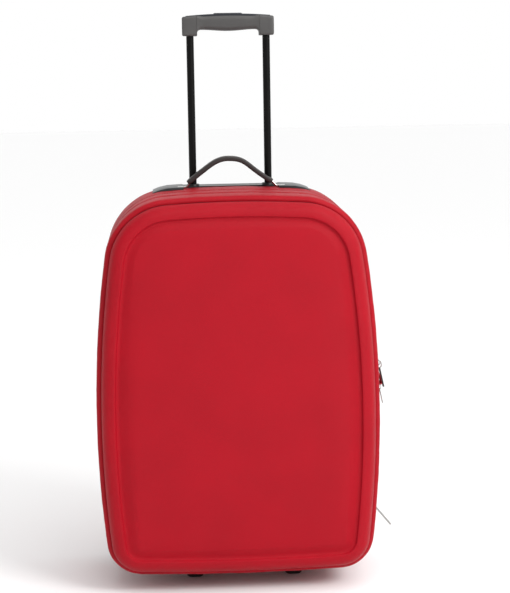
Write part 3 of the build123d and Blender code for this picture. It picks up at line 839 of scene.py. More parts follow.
# %% [markdown]
# ## Zips
# A coil zip is two tapes whose edges carry a plastic coil, and each turn of the coil reads as a
# tooth. The teeth of the two halves alternate. One tooth is modelled, and it is copied along the
# outline at the pitch of the coil. The teeth of a half are one mesh, because there are hundreds of
# them.

# %% Zip tapes and patterns
ZIP_PITCH = 3.0 * MM
TAPE_SKIN = 7.5
TAPE_THICK = 0.7


def zip_tape(name, front, back, body, node):
    """One cloth tape of a zip."""
    inner = TAPE_SKIN - TAPE_THICK
    piece = ring_piece(name, [(inner, front), (TAPE_SKIN, front), (TAPE_SKIN, back), (inner, back)])
    lay_cloth(piece)
    return settle(piece, body, tape_cloth, (node,), 40)


def small_block(name, size, bevel):
    """A bevelled block at the origin, its sizes in millimetres, used as the pattern for what repeats."""
    bpy.ops.object.select_all(action="DESELECT")
    bpy.ops.mesh.primitive_cube_add(size=1, scale=Vector(size) * MM)
    piece = bpy.context.object
    piece.name = name
    with editing(piece):
        bpy.ops.mesh.bevel(offset=bevel * MM, segments=1)
    return piece


def copies(name, pattern, places, body, material):
    """One mesh of copies of a pattern, each at (place, x, y, z axes)."""
    source = [v.co.copy() for v in pattern.data.vertices]
    faces = [tuple(f.vertices) for f in pattern.data.polygons]
    verts, polys = [], []
    for place, x_way, y_way, z_way in places:
        base = len(verts)
        verts.extend(tuple(place + x_way * p.x + y_way * p.y + z_way * p.z) for p in source)
        polys.extend(tuple(base + v for v in face) for face in faces)
    mesh = bpy.data.meshes.new(name)
    mesh.from_pydata(verts, [], polys)
    piece = bpy.data.objects.new(name, mesh)
    bpy.context.scene.collection.objects.link(piece)
    with editing(piece):
        face_outwards()
    return settle(piece, body, material)


# %% [markdown]
# A tooth or a stitch is placed by walking along the seam and noting the direction at each step. The
# teeth stop at the hinge, because the zip ends there.


# %% Teeth and stitches
def outline_frame(run):
    """Place, direction along the seam and direction outwards, at a run along the outline."""
    run = run % PERIMETER
    step = min(int(np.searchsorted(ring_run, run, side="right")) - 1, RING - 1)
    share = (run - ring_run[step]) / (ring_run[step + 1] - ring_run[step])
    after = (step + 1) % RING
    seam = ring_centre + ring_radius[:, None] * ring_way
    place = seam[step] * (1 - share) + seam[after] * share
    way = ring_way[step] * (1 - share) + ring_way[after] * share
    way = way / np.linalg.norm(way)
    return [Vector((x, 0, z)) for x, z in (place, (-way[1], way[0]), way)]


hinge_low, hinge_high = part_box("hinge_strip")


def off_hinge(place):
    """Whether a place on the outline is clear of the hinge."""
    return not (place.x < 0 and hinge_low.z < place.z < hinge_high.z)


def along_outline(grow, depth, pitch, start=0.0, skip_hinge=False):
    """Places for copies along the outline: X follows the seam, Y is depth and Z points outwards."""
    places = []
    count = int(PERIMETER / pitch)
    for k in range(count):
        place, along, out = outline_frame(start + k * PERIMETER / count)
        if off_hinge(place) or not skip_hinge:
            places.append((place + out * grow * MM + ALONG_Y * depth * MM, along, ALONG_Y, out))
    return places


tooth = small_block("zip_tooth", (1.7, 2.0, 1.3), 0.35)
stitch = small_block("stitch", (2.6, 0.5, 0.4), 0.14)
zip_parts = []
for name, front, back, body, node in (
    ("main_zip_tape_lid", -41.5, -36.6, "lid", "main_zip_lid_half"),
    ("main_zip_tape_frame", -33.4, -28.5, "front_frame", "main_zip_frame_half"),
    ("expansion_zip_tape_frame", 13.5, 17.6, "front_frame", "expansion_zip_frame_half"),
    ("expansion_zip_tape_rear", 20.4, 24.5, "tray", "expansion_zip_rear_half"),
):
    zip_parts.append(zip_tape(name, front, back, body, node))
for name, depth, start, body, main in (
    ("main_teeth_lid", -35.9, 0.0, "lid", True),
    ("main_teeth_frame", -34.1, ZIP_PITCH / 2, "front_frame", True),
    ("expansion_teeth_frame", 18.1, 0.0, "front_frame", False),
    ("expansion_teeth_rear", 19.9, ZIP_PITCH / 2, "tray", False),
):
    places = along_outline(TAPE_SKIN - 0.35, depth, ZIP_PITCH, start, skip_hinge=main)
    zip_parts.append(copies(name, tooth, places, body, coil_plastic))
STITCH_PITCH = 4.2 * MM
for name, lift, depth, body in (
    ("stitches_lid_zip", 0.05, -43.5, "lid"),
    ("stitches_lid_seam", 0.1, -80.5, "lid"),
    ("stitches_frame_front", 0.05, -26.5, "front_frame"),
    ("stitches_frame_back", 0.05, 11.5, "front_frame"),
    ("stitches_rear_front", 0.05, 26.5, "tray"),
    ("stitches_rear_back", 0.1, 104.0, "tray"),
):
    places = along_outline(SKIN + lift, depth, STITCH_PITCH)
    zip_parts.append(copies(name, stitch, places, body, thread_red))
for pattern in (tooth, stitch):
    bpy.data.objects.remove(pattern)
print("zips and stitches", triangles(*zip_parts), "triangles")

# %% [markdown]
# ## Expansion gusset and hinge cloth
# When the expansion zip is open, the case grows: a folded strip of thin cloth behind the zip opens
# out between the frame and the rear shell. It bends between the two bodies. On the left, the lid is
# hung on a strip of cloth sewn behind the main zip, which bends in the same way.

# %% Cloth that crosses a joint
def thin_strip(name, outer, depths, thick):
    """A thin band along the outline, with a fold line at each depth."""
    stations = [(outer, depth) for depth in depths]
    return ring_piece(name, stations + [(outer - thick, depth) for depth in reversed(depths)])


def dress_strip(piece):
    """Tape cloth for a strip that bends between two bodies."""
    lay_cloth(piece)
    finish_with(piece, tape_cloth)
    shade(piece, 60)


gusset = thin_strip("expansion_gusset", 4.9, [11.0, 19.0, 27.0], 0.6)
dress_strip(gusset)
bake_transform(gusset, "front_frame", "tray", start=(0, 0.012, 0.3), end=(0, 0.026, 0.3))
hinge_cloth = thin_strip("hinge_cloth", 4.8, [-46.0, -41.0, -38.0, -36.0, -34.0, -31.0, -22.0], 0.8)
with editing(hinge_cloth):
    for height, below in ((hinge_low.z, True), (hinge_high.z, False)):
        bpy.ops.mesh.select_all(action="SELECT")
        sides = {"clear_inner": below, "clear_outer": not below}
        bpy.ops.mesh.bisect(plane_co=(0, 0, height), plane_no=(0, 0, 1), use_fill=True, **sides)
    bpy.ops.mesh.select_all(action="SELECT")
    bpy.ops.mesh.bisect(plane_co=(0, 0, 0), plane_no=(1, 0, 0), clear_outer=True, use_fill=True)
dress_strip(hinge_cloth)
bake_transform(hinge_cloth, "front_frame", "lid", start=(-0.237, -0.031, 0.3), end=(-0.237, -0.039, 0.3))
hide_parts("hinge_strip")
print("gusset and hinge", triangles(gusset, hinge_cloth), "triangles")

# %% [markdown]
# ## Handle, plate and other hard parts
# The hard parts are lofts: a closed section of a few points, drawn once and extruded from place to
# place, as a bottle or a grip is drawn in section. Where the CAD shape is already right and only
# too sharp, its node is copied, its doubled corners are merged, and its edges are bevelled so that
# they catch the light like moulded plastic.


# %% Sections and softened copies
MERGE = 1e-5                    # corners of a CAD mesh that lie closer than this are one
FLAT_ENOUGH = math.radians(1.5)
SHARP = math.radians(40)


def rounded_loop(centre, right, up, half_right, half_up, corner, steps=4):
    """A rounded rectangle around a centre, in the plane of right and up."""
    corner = min(corner, 0.98 * half_right, 0.98 * half_up)
    points = []
    for way_right, way_up, start in ((1, 1, 0), (-1, 1, 90), (-1, -1, 180), (1, -1, 270)):
        for k in range(steps + 1):
            angle = math.radians(start + 90 * k / steps)
            across = way_right * (half_right - corner) + corner * math.cos(angle)
            upward = way_up * (half_up - corner) + corner * math.sin(angle)
            points.append(Vector(centre) + right * across + up * upward)
    return points


def round_loop(centre, right, up, radius, count=12):
    """A circle around a centre."""
    turns = [2 * math.pi * k / count for k in range(count)]
    return [Vector(centre) + (right * math.cos(t) + up * math.sin(t)) * radius for t in turns]


def cut_out(piece, low, high):
    """Cut a box out of a piece, between two corners given in millimetres."""
    low, high = Vector(low) * MM, Vector(high) * MM
    bpy.ops.object.select_all(action="DESELECT")
    bpy.ops.mesh.primitive_cube_add(size=1, location=(low + high) / 2, scale=high - low)
    cutter = bpy.context.object
    apply_modifier(piece, "BOOLEAN", operation="DIFFERENCE", object=cutter)
    bpy.data.objects.remove(cutter)


def softened(node, name, width, material, segments=2, reshape=None):
    """A copy of a CAD node with merged corners, reshaped points if asked, and bevelled edges."""
    source = frame["nodes"][node]
    body = source["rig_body"]
    piece = bpy.data.objects.new(name, source.data.copy())
    bpy.context.scene.collection.objects.link(piece)
    with editing(piece):
        bpy.ops.mesh.remove_doubles(threshold=MERGE)
        bpy.ops.mesh.dissolve_limited(angle_limit=FLAT_ENOUGH)
    if reshape:
        for vertex in piece.data.vertices:
            vertex.co = reshape(vertex.co)
    rounding = {"width": width * MM, "segments": segments, "limit_method": "ANGLE", "angle_limit": SHARP}
    apply_modifier(piece, "BEVEL", **rounding)
    return settle(piece, body, material, (node,), 30)


# %% [markdown]
# ### Grip
# The grip is a hollow moulding in grey plastic. It has a deep socket over each tube, an underside
# that swells a little in the middle to fit the hand, and a crowned top with a dark inset strip. The
# release button stands in a pocket in the middle of the strip. The bar is one loft along X; only
# the height of its top and underside change.

# %% Grip, strip and button
GRIP_DEPTH = 95.0
GRIP_HALF_DEPTH = 13.0
SOCKET_EDGE = 54.0
SOCKET_FILLET = 6.0
UNDERSIDE = 953.0
UNDERSIDE_SWELL = 2.5
SHOULDER = 975.7
CROWN_RISE = 3.8
GRIP_FOOT = 942.5
GRIP_END = 80.0


def crown(x):
    """Height of the top of the grip, in millimetres."""
    return SHOULDER + CROWN_RISE * (1 - (x / GRIP_END) ** 2)


def underside(x):
    """Height of the underside of the grip."""
    inside = SOCKET_EDGE - abs(x)
    if inside <= 0:
        return GRIP_FOOT
    if inside < SOCKET_FILLET:
        rise = math.sqrt(max(0, SOCKET_FILLET**2 - (SOCKET_FILLET - inside) ** 2))
        return UNDERSIDE - SOCKET_FILLET + rise
    share = abs(x) / (SOCKET_EDGE - SOCKET_FILLET)
    return UNDERSIDE - UNDERSIDE_SWELL * (0.5 + 0.5 * math.cos(math.pi * share))


def grip_section(x, inset=0.0):
    """One section of the grip."""
    low, high = underside(x) + inset, crown(x) - inset
    centre = Vector((x, GRIP_DEPTH, (low + high) / 2)) * MM
    roundness = 4.5 + 5.5 * min(1.0, max(0.0, (SOCKET_EDGE - abs(x)) / 10))
    half_depth, half_height = (GRIP_HALF_DEPTH - inset) * MM, (high - low) / 2 * MM
    return rounded_loop(centre, ALONG_Y, ALONG_Z, half_depth, half_height, roundness * MM, 6)


half_grip = [(80.0, 2.4), (79.6, 1.2), (78.6, 0.4), (77.0, 0.0), (72.0, 0.0), (62.0, 0.0)]
half_grip += [(55.4, 0.0), (55.0, 0.45), (54.4, 0.45), (54.01, 0.0)]
half_grip += [(x, 0.0) for x in (53.9, 53.0, 52.0, 50.5, 48.0, 42.0, 36.0)]
half_grip += [(x, 0.0) for x in (30.0, 25.0, 20.0, 14.0, 8.0, 3.0)]
grip_stations = [(-x, inset) for x, inset in half_grip] + [(x, inset) for x, inset in reversed(half_grip)]
grip = loft("grip_moulding", [grip_section(x, inset) for x, inset in grip_stations])
cut_out(grip, (-25.6, 87.4, 961.0), (25.6, 102.6, 990.0))
settle(grip, "handle", grip_grey, ("grip_body",), 32)


# %% [markdown]
# The strip and the release button are hard inlays in the top of the grip. Below the button sits a
# small coil spring; on the case it is squashed as the button goes down, but here it rides with the
# grip at its resting length.


# %% Strip, button and spring
def strip_section(x, inset=0.0):
    """One section of the inset strip on top of the grip."""
    high = crown(x) + 0.9 - inset
    low = crown(x) - 3.0 + inset
    centre = Vector((x, GRIP_DEPTH, (low + high) / 2)) * MM
    return rounded_loop(centre, ALONG_Y, ALONG_Z, (9.8 - inset) * MM, (high - low) / 2 * MM, 1.0 * MM, 3)


strip_stations = [(-74.0, 0.9), (-73.4, 0.1), (-72.5, 0.0)] + [(x, 0.0) for x in range(-66, 67, 6)]
strip_stations += [(72.5, 0.0), (73.4, 0.1), (74.0, 0.9)]
strip = loft("grip_strip", [strip_section(x, inset) for x, inset in strip_stations])
cut_out(strip, (-25.4, 87.6, 961.0), (25.4, 102.4, 990.0))
settle(strip, "handle", cap_dark, ("grip_cap",), 32)


def button_section(height, inset):
    """One level of the release button."""
    centre = Vector((0, GRIP_DEPTH, height)) * MM
    return rounded_loop(centre, ALONG_X, ALONG_Y, (25 - inset) * MM, (7 - inset) * MM, 3.2 * MM, 5)


button_levels = [(966.2, 0.0), (979.6, 0.0), (980.8, 0.35), (981.4, 1.0)]
button_levels += [(981.6, 2.0), (981.2, 3.0), (980.9, 4.2)]
button = loft("release_key", [button_section(height, inset) for height, inset in button_levels])
settle(button, "release", cap_dark, ("release_button",), 32)
SPRING_FOOT = 961.5
SPRING_TOP = 965.9
SPRING_TURNS = 3.5
SPRING_RADIUS = 3.9
WIRE = 0.4
SPRING_STEPS = 56
spring_rings = []
for k in range(SPRING_STEPS + 1):
    share = k / SPRING_STEPS
    turn = 2 * math.pi * SPRING_TURNS * share
    way = ALONG_X * math.cos(turn) + ALONG_Y * math.sin(turn)
    height = SPRING_FOOT + WIRE + (SPRING_TOP - SPRING_FOOT - 2 * WIRE) * share
    middle = Vector((0, GRIP_DEPTH, height)) * MM + way * SPRING_RADIUS * MM
    spring_rings.append(round_loop(middle, way, ALONG_Z, WIRE * MM, 8))
spring = loft("release_spring", spring_rings)
settle(spring, "handle", steel, ("button_spring",), 60)
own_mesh(spring)
print("grip, strip and button", triangles(grip, strip, button), "triangles")

# %% [markdown]
# ### Carry strap
# The carry handle is a padded strap moulded over a core, fixed at each end to a bent steel wire. It
# isn't quite even: it leans up steeply on one side. Its section is a flat oval that is swept along
# a smooth curve, and a row of stitches runs near each edge.

# %% Carry strap
STRAP_DEPTH = 69.0
STRAP_LINE = [(-76.0, 689.0), (-64.0, 698.5), (-49.7, 709.5), (-30.6, 723.0), (-15.0, 729.3), (0.0, 730.2)]
STRAP_LINE += [(14.6, 727.9), (26.8, 721.6), (45.2, 707.0), (64.2, 693.5), (72.0, 690.0)]


def curve_points(points, per_span):
    """Points on a smooth curve through the given points."""
    padded_points = [points[0] * 2 - points[1]] + points + [points[-1] * 2 - points[-2]]
    smooth = []
    for a, b, c, d in zip(padded_points, padded_points[1:], padded_points[2:], padded_points[3:]):
        for k in range(per_span):
            t = k / per_span
            bend = (2 * a - 5 * b + 4 * c - d) * t**2 + (3 * b - a - 3 * c + d) * t**3
            smooth.append(0.5 * (2 * b + (c - a) * t + bend))
    return smooth + [points[-1]]


strap_curve = curve_points([Vector((x, STRAP_DEPTH, z)) * MM for x, z in STRAP_LINE], 6)


def strap_section(place, along, inset):
    """A flat oval across the strap."""
    up = along.cross(ALONG_Y).normalized()
    return rounded_loop(place, ALONG_Y, up, (12 - inset) * MM, (4 - inset) * MM, 2.6 * MM, 5)


def tangents(points):
    """The direction of a curve at each of its points."""
    last = len(points) - 1
    return [(points[min(k + 1, last)] - points[max(k - 1, 0)]).normalized() for k in range(len(points))]


strap_ways = tangents(strap_curve)
strap_insets = [0.9, 0.25] + [0.0] * (len(strap_curve) - 4) + [0.25, 0.9]
strap = loft(
    "carry_strap_padded", [strap_section(*spot) for spot in zip(strap_curve, strap_ways, strap_insets)]
)
settle(strap, "carry_handle", strap_skin, ("carry_strap",), 50)


strap_stitch = small_block("strap_stitch", (2.4, 0.5, 0.35), 0.12)
stitch_places = []
for place, along in list(zip(strap_curve, strap_ways))[3:-3]:
    out = -along.cross(ALONG_Y).normalized()
    for side in (-1, 1):
        stitch_places.append((place + ALONG_Y * side * 9.2 * MM + out * 3.98 * MM, along, ALONG_Y, out))
copies("strap_stitches", strap_stitch, stitch_places, "carry_handle", strap_skin)
bpy.data.objects.remove(strap_stitch)
print("strap", triangles(strap), "triangles,", len(stitch_places), "stitches")

# %% [markdown]
# ### Top plate and other mouldings
# The top plate is a hard moulding that saddles the top of the case and guides the tubes. The
# collars, the wheel housings, the feet and the board over the tubes are simple mouldings too. Their
# CAD shapes are right, so softened copies are enough. Only the plate is also pressed down, because
# the cloth rises to meet it.

# %% Top plate, collars, housings and feet
TOP_MIDDLE = seam_high.z - TOP_ARC
PLATE_HEIGHT = 0.55              # the moulding stands this share of its collision shape above the cloth
plate_corner = half_outline()[3][0]


def lower_plate(place):
    """Lower a point of the plate towards the top of the cloth, which is an arc with rounded corners."""
    reach = TOP_ARC + SKIN * MM
    corner = TOP_CORNER + SKIN * MM
    corner_x, corner_z = plate_corner
    if abs(place.x) < corner_x:
        cloth = TOP_MIDDLE + math.sqrt(reach**2 - place.x**2)
    else:
        cloth = corner_z + math.sqrt(max(0.0, corner**2 - (abs(place.x) - corner_x) ** 2))
    if place.z > cloth:
        return Vector((place.x, place.y, cloth + (place.z - cloth) * PLATE_HEIGHT))
    return place


plate = softened("top_plate", "top_plate_moulding", 0.8, plate_grey, reshape=lower_plate)
for side in ("left", "right"):
    softened(f"tube_collar_{side}", f"collar_{side}", 0.7, black_plastic)
    softened(f"wheel_housing_{side}", f"housing_{side}", 0.8, black_plastic)
    softened(f"front_foot_{side}", f"foot_{side}", 0.7, black_plastic)
softened("tube_cover", "tube_cover_cloth", 2.0, lining_plain, 3)
softened("tube_bracket", "bracket", 0.5, black_plastic)
print("plate", triangles(plate), "triangles")

# %% [markdown]
# ## Wheels
# Each wheel is a grooved rubber tyre on a plastic hub with five spokes. The tyre and the rim of the
# hub are lofts of circles along the axle. One spoke is a block, and it is copied around the axle.

# %% Wheels
WHEEL_DEPTH = 108.0
WHEEL_HEIGHT = 25.0
TYRE_PROFILE = [(-10.0, 17.2), (-10.0, 21.6), (-9.3, 23.4), (-8.2, 24.5), (-6.6, 24.95)]
TYRE_PROFILE += [(-5.2, 25.0), (-4.9, 24.2), (-4.0, 24.2), (-3.7, 25.0), (-0.7, 25.0), (-0.4, 24.2)]
TYRE_PROFILE += [(-x, radius) for x, radius in reversed(TYRE_PROFILE)]
RIM_PROFILE = [(-9.6, 15.0), (-9.8, 15.4), (-9.8, 17.0), (9.8, 17.0), (9.8, 15.4), (9.6, 15.0)]
CORE_PROFILE = [(-9.0, 7.1), (-9.2, 7.6), (-9.0, 9.4), (9.0, 9.4), (9.2, 7.6), (9.0, 7.1)]


def turned(name, wheel_x, profile, count=64):
    """A ring turned about the axle, from a profile of (along the axle, radius)."""
    loops = []
    for x, radius in profile:
        centre = Vector((wheel_x + x, WHEEL_DEPTH, WHEEL_HEIGHT)) * MM
        loops.append(round_loop(centre, ALONG_Y, ALONG_Z, radius * MM, count))
    return loft(name, loops, ends="joined")


SPOKES = 5
outwards = Matrix.Translation(ALONG_Y * 12.2 * MM)
for side, wheel_x in (("left", -175.0), ("right", 175.0)):
    tyre = turned(f"tyre_{side}", wheel_x, TYRE_PROFILE)
    settle(tyre, f"wheel_{side}", tyre_rubber, (f"wheel_tyre_{side}",), 25)
    hub_parts = [turned(f"hub_{side}", wheel_x, RIM_PROFILE), turned("core", wheel_x, CORE_PROFILE, 32)]
    axle = Matrix.Translation(Vector((wheel_x, WHEEL_DEPTH, WHEEL_HEIGHT)) * MM)
    for k in range(SPOKES):
        spoke = small_block("spoke", (12.0, 7.0, 3.2), 0.6)
        spoke.data.transform(axle @ Matrix.Rotation(2 * math.pi * k / SPOKES, 4, "X") @ outwards)
        hub_parts.append(spoke)
    only(hub_parts[0])
    for part in hub_parts:
        part.select_set(True)
    bpy.ops.object.join()
    settle(hub_parts[0], f"wheel_{side}", hub_plastic, (f"wheel_hub_{side}",))
print("wheel", triangles(tyre, hub_parts[0]), "triangles")

# %% [markdown]
# ## Sliders and pulls
# Three sliders sit on the right-hand side: two meet half way up the main zip, and one closes the
# expansion zip near the floor. A slider is a small die casting, so its CAD shape only needs its
# edges rounded. Its pull hangs from a wire link. The upper pull is a dark moulded tag, the lower
# one is a short steel tag, and the expansion zip has a chain of two links and a long steel tag with
# a hole.

# %% Sliders and pulls
PULL_OUT = 7.0
SIDE_MIDDLE = Vector((seam_high.x - SIDE_ARC, seam_low.z + WIDEST_ABOVE_SEAM))


def pull_pivot(height, depth):
    """Where a pull hangs from its slider, on the right-hand side."""
    radius = SIDE_ARC + TAPE_SKIN * MM
    angle = math.asin((height * MM - SIDE_MIDDLE.y) / radius)
    reach = radius + PULL_OUT * MM
    spot = SIDE_MIDDLE + Vector((math.cos(angle), math.sin(angle))) * reach
    return Vector((spot.x, depth * MM, spot.y))


def wire_link(name, pivot, down, flat, start, length, half_width, wire=0.75):
    """A closed wire link that hangs down from start, in the plane of down and flat."""
    middle = pivot + down * (start + length / 2) * MM
    path = rounded_loop(middle, flat, down, half_width * MM, length / 2 * MM, 0.9 * half_width * MM, 4)
    rings = []
    for k, place in enumerate(path):
        along = (path[(k + 1) % len(path)] - path[k - 1]).normalized()
        side = down.cross(flat).normalized()
        rings.append(round_loop(place, side, along.cross(side), wire * MM, 8))
    return loft(name, rings, ends="joined")


def flat_tag(name, pivot, down, start, length, half_width, half_thick, taper=0.0, hole=None):
    """A flat tag with rounded ends that hangs from start to start plus length."""
    face = down.cross(ALONG_Y).normalized()
    levels = [(0.0, -1.6), (0.5, -0.7), (1.4, -0.15), (2.6, 0.0), (length / 2, 0.0)]
    levels += [(length - 2.6, 0.0), (length - 1.4, -0.15), (length - 0.5, -0.7), (length, -1.6)]
    sections = []
    for level, narrow in levels:
        half = half_width + narrow + taper * level / length
        centre = pivot + down * (start + level) * MM
        sections.append(rounded_loop(centre, ALONG_Y, face, half * MM, half_thick * MM, 0.6 * MM, 3))
    piece = loft(name, sections)
    if hole:
        centre = pivot + down * hole * MM
        turn = face.to_track_quat("Z", "Y").to_euler()
        bpy.ops.object.select_all(action="DESELECT")
        drilling = {"vertices": 24, "radius": 1.5 * MM, "depth": 8 * MM}
        bpy.ops.mesh.primitive_cylinder_add(location=centre, rotation=turn, **drilling)
        drill = bpy.context.object
        apply_modifier(piece, "BOOLEAN", operation="DIFFERENCE", object=drill)
        bpy.data.objects.remove(drill)
    return piece


def downwards(tilt):
    """Straight down, leaning out from the case by tilt degrees."""
    return Vector((math.sin(math.radians(tilt)), 0, -math.cos(math.radians(tilt))))


# %% [markdown]
# The two sliders of the main zip meet half way up, and their pulls hang almost straight down. The
# pull of the expansion zip stands away from the case at a clear angle.

# %% Three sliders with their pulls
for node in ("main_slider_upper", "main_slider_lower", "expansion_slider"):
    softened(node, f"{node}_cast", 0.35, chrome)

upper_pivot, upper_down = pull_pivot(380, -35), downwards(12)
upper_face = upper_down.cross(ALONG_Y).normalized()
upper_link = wire_link("upper_link", upper_pivot, upper_down, upper_face, -3.2, 12.5, 4.4, 0.9)
settle(upper_link, "upper_pull", chrome, ("main_pull_upper",))
upper_tag = flat_tag("upper_tag", upper_pivot, upper_down, 9.0, 34.5, 3.4, 1.3, taper=0.8)
settle(upper_tag, "upper_pull", pull_dark)

lower_pivot, lower_down = pull_pivot(337, -35), downwards(12)
lower_link = wire_link("lower_link", lower_pivot, lower_down, ALONG_Y, -1.2, 9.5, 3.4)
settle(lower_link, "lower_pull", chrome, ("main_pull_lower",))
lower_tag = flat_tag("lower_tag", lower_pivot, lower_down, 7.0, 22.0, 3.2, 0.7, hole=25.5)
settle(lower_tag, "lower_pull", chrome)

far_pivot, far_down = pull_pivot(117, 19), downwards(39)
straight_down = downwards(16)
ring_face = straight_down.cross(ALONG_Y).normalized()
for name, shift, start, length in (("upper", 0.0, -1.4, 9.5), ("lower", 1.2, 6.4, 10.0)):
    hang = far_pivot + ring_face * shift * MM
    ring = wire_link(f"expansion_link_{name}", hang, straight_down, ring_face, start, length, 4.2, 0.85)
    settle(ring, "expansion_slider_body", chrome)
far_tag = flat_tag("expansion_tag", far_pivot, far_down, 0.5, 55.0, 3.1, 1.5, hole=48.5)
settle(far_tag, "expansion_pull_body", chrome, ("expansion_pull",))
print("tags", triangles(upper_tag, lower_tag, far_tag), "triangles")

# %% [markdown]
# ## Side tab
# Beside the two sliders a short tab of the red cloth is sewn to the frame band. It is held while
# the zip is pulled. The tab is a doubled strip that arches off the band between its two sewn ends.

# %% Side tab
TAB_LOW = 333.0
TAB_HIGH = 372.0
TAB_REACH = 11.5
TAB_DEPTH = -8.0
TAB_STEPS = 40


def tab_sections():
    """Sections of the strip from its lower end up. It arches out fast and comes back slowly."""
    spine = []
    for k in range(TAB_STEPS + 1):
        share = k / TAB_STEPS
        height = (TAB_LOW + (TAB_HIGH - TAB_LOW) * share) * MM
        rise = min(1.0, max(0.0, (share - 0.04) / 0.16))
        fall = min(1.0, max(0.0, (0.97 - share) / 0.77))
        arch = math.sin(rise * math.pi / 2) * (1 - (1 - fall) ** 1.6)
        angle = math.asin((height - SIDE_MIDDLE.y) / SIDE_ARC)
        surface = SIDE_MIDDLE.x + (SIDE_ARC + (SKIN + 1.4) * MM) * math.cos(angle)
        spine.append(Vector((surface + TAB_REACH * arch * MM, TAB_DEPTH * MM, height)))
    return [
        rounded_loop(spot, ALONG_Y, way.cross(ALONG_Y).normalized(), 11.5 * MM, 1.2 * MM, 1.0 * MM, 3)
        for spot, way in zip(spine, tangents(spine))
    ]


tab = loft("side_tab", tab_sections())
woven_tab = woven("tab_cloth", CRIMSON_DEEP, CRIMSON, 0.9, roughness=0.6, sheen=0.12, from_uv=False)
settle(tab, "front_frame", woven_tab, (), 60)
print("tab", triangles(tab), "triangles")

# %% [markdown]
# ## Inside the case
# The lid opens, so the inside has its own finish: a grey lining over the back of the moulded front,
# a mesh pocket bound with tape, and packing straps with a buckle that hold the clothes down
# against the back.

# %% Lining, pocket and straps
LINING_STATIONS = [(4.8, -86.2), (0.0, -86.8), (-8.0, -87.3), (-20.0, -87.6), (-40.0, -87.6)]


def make_lid_lining():
    """The lining sewn over the back of the moulded front."""
    piece = ring_piece("lid_lining_cloth", LINING_STATIONS, ends="open")
    with editing(piece):
        fill_station(piece, len(LINING_STATIONS) - 1)
    lay_cloth(piece)
    apply_modifier(piece, "SOLIDIFY", thickness=1.2 * MM, offset=0)
    return settle(piece, "lid", lining_cloth, ("lid_lining",), 60)


lid_lining = make_lid_lining()
mesh_greys = ((0.012, 0.012, 0.013), (0.10, 0.10, 0.105))
mesh_cloth = woven("mesh_cloth", *mesh_greys, 2.2, roughness=0.7, from_uv=False)


def flat_panel(name, centre, half_width, half_height, half_thick, corner):
    """A flat rounded panel that faces the back, in millimetres."""
    levels = [(-half_thick, -0.8), (-half_thick * 0.5, 0.0), (half_thick * 0.5, 0.0), (half_thick, -0.8)]
    loops = []
    for level, grow in levels:
        middle = Vector((centre[0], centre[1] + level, centre[2])) * MM
        width, height = (half_width + grow) * MM, (half_height + grow) * MM
        loops.append(rounded_loop(middle, ALONG_X, ALONG_Z, width, height, corner * MM, 8))
    return loft(name, loops)


pocket = flat_panel("mesh_pocket", (0, -85.2, 270), 178, 165, 0.8, 26)
settle(pocket, "lid", mesh_cloth)
binding_path = rounded_loop(Vector((0, -84.4, 270)) * MM, ALONG_X, ALONG_Z, 178 * MM, 165 * MM, 26 * MM, 10)
binding_rings = []
for k, place in enumerate(binding_path):
    along = (binding_path[(k + 1) % len(binding_path)] - binding_path[k - 1]).normalized()
    across = along.cross(ALONG_Y).normalized()
    binding_rings.append(rounded_loop(place, across, ALONG_Y, 4 * MM, 0.9 * MM, 0.7 * MM, 2))
binding = loft("pocket_binding", binding_rings, ends="joined")
settle(binding, "lid", lining_plain, (), 50)

# %% [markdown]
# Four lengths of webbing run from the sides of the tray to one flat buckle, and cross in an X. Each is
# a loft with a thin rounded section along a straight line.

# %% Packing straps
webbing = woven("webbing", (0.008, 0.008, 0.009), (0.035, 0.035, 0.037), 1.2, roughness=0.6, from_uv=False)
BUCKLE = Vector((0, 76.5, 330)) * MM
for k, (x, z) in enumerate(((-229, 150), (229, 150), (-225, 490), (225, 490))):
    foot = Vector((x, 76.5, z)) * MM
    way = (BUCKLE - foot).normalized()
    side = way.cross(ALONG_Y).normalized()
    inner_end = BUCKLE - way * 20 * MM
    places = [foot.lerp(inner_end, share / 8) for share in range(9)]
    loops = [rounded_loop(spot, side, ALONG_Y, 12.5 * MM, 0.8 * MM, 0.6 * MM, 2) for spot in places]
    settle(loft(f"packing_strap_{k + 1}", loops), "tray", webbing, (), 50)
buckle = flat_panel("buckle", (0, 76.2, 330), 25, 30, 3.6, 8)
settle(buckle, "tray", black_plastic)
print("inside", triangles(lid_lining, pocket, binding), "triangles")

# %% [markdown]
# ## Parts kept from the CAD
# Tubes, axles, bearings, rivets, screws and the parts of the lock are already the right shape, so
# they stay as they are and only get a finish.

# %% Finishes of the CAD parts
CAD_FINISHES = {
    "inner_tube": black_coat,
    "outer_tube": black_coat,
    "tube_plug": black_plastic,
    "lock_pin": steel,
    "push_rod": steel,
    "button_spring": steel,
    "axle": steel,
    "wheel_bearings": steel,
    "back_rivets": steel,
    "foot_screws": steel,
    "grip_screws": steel,
    "handle_wire": chrome,
}
for node, piece in frame["nodes"].items():
    for start, material in CAD_FINISHES.items():
        if node.startswith(start):
            finish_with(piece, material)
dressed = tuple(CAD_FINISHES)
left_over = [n for n, p in frame["nodes"].items() if not p.hide_render and not n.startswith(dressed)]
print("CAD parts without a new finish:", left_over)

# %% [markdown]
# ## Stage
# A plain pale floor and soft studio light. The key light is a large panel high on the right, in
# front of the case, a weaker one fills the left, and a wide soft light from the ceiling keeps the
# floor pale all the way back.

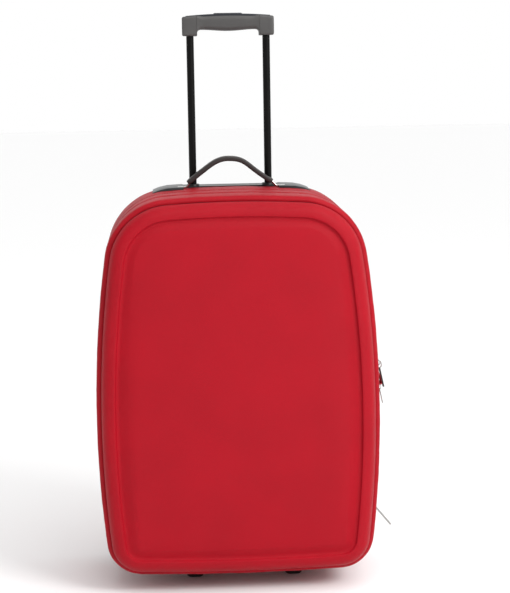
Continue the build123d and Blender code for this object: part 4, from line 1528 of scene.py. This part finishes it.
# %% Floor and light
FLOOR_SIZE = 30                 # wide enough to reach past the edges of every view
FLOOR_DROP = 0.0005             # a gap under the wheels and feet, so that no faces coincide
FLOOR_GREY = (0.86, 0.86, 0.86)
bpy.ops.object.select_all(action="DESELECT")
bpy.ops.mesh.primitive_plane_add(size=FLOOR_SIZE, location=(0, 0, -FLOOR_DROP))
floor = bpy.context.object
floor.name = "floor"
floor_paint, floor_shader = new_material("floor_paint")
floor_shader.inputs["Base Color"].default_value = (*FLOOR_GREY, 1)
floor_shader.inputs["Roughness"].default_value = 0.9
finish_with(floor, floor_paint)


def panel_light(name, place, target, size, watts):
    """A square soft light aimed at a point."""
    data = bpy.data.lights.new(name, "AREA")
    data.energy = watts
    data.size = size
    lamp = bpy.data.objects.new(name, data)
    bpy.context.scene.collection.objects.link(lamp)
    lamp.location = place
    lamp.rotation_euler = (Vector(target) - Vector(place)).to_track_quat("-Z", "Y").to_euler()
    return lamp


KEY_WATTS, FILL_WATTS = 62, 4
CEILING_STRENGTH = 1.7
CEILING_SPREAD = math.radians(70)
SKY_FRONT = 0.46              # the studio is dim in front of the case and bright behind it
SKY_BACK = 1.0
panel_light("key", (1.9, -1.9, 2.1), (0, 0, 0.42), 1.1, KEY_WATTS)
panel_light("fill", (-2.4, -2.6, 1.3), (0, 0, 0.4), 1.8, FILL_WATTS)
sun_data = bpy.data.lights.new("ceiling", "SUN")
sun_data.energy = CEILING_STRENGTH
sun_data.angle = CEILING_SPREAD
ceiling = bpy.data.objects.new("ceiling", sun_data)
bpy.context.scene.collection.objects.link(ceiling)
ceiling.rotation_euler = Vector((0.35, -0.45, 0.85)).to_track_quat("Z", "Y").to_euler()
world = bpy.data.worlds.new("studio")
world.use_nodes = True
background = world.node_tree.nodes["Background"]
background.inputs["Strength"].default_value = 1.0
facing = add(world, "SeparateXYZ", {0: add(world, "TexCoord").outputs["Generated"]})
backwards = math_node(world, "MULTIPLY_ADD", facing.outputs["Y"], 0.5, 0.5)
feed(world, background, {"Color": ramp_node(world, backwards, (0.3, SKY_FRONT), (0.85, SKY_BACK))})
bpy.context.scene.world = world
bpy.context.scene.view_settings.view_transform = "Standard"
print("lights", len(bpy.data.lights))
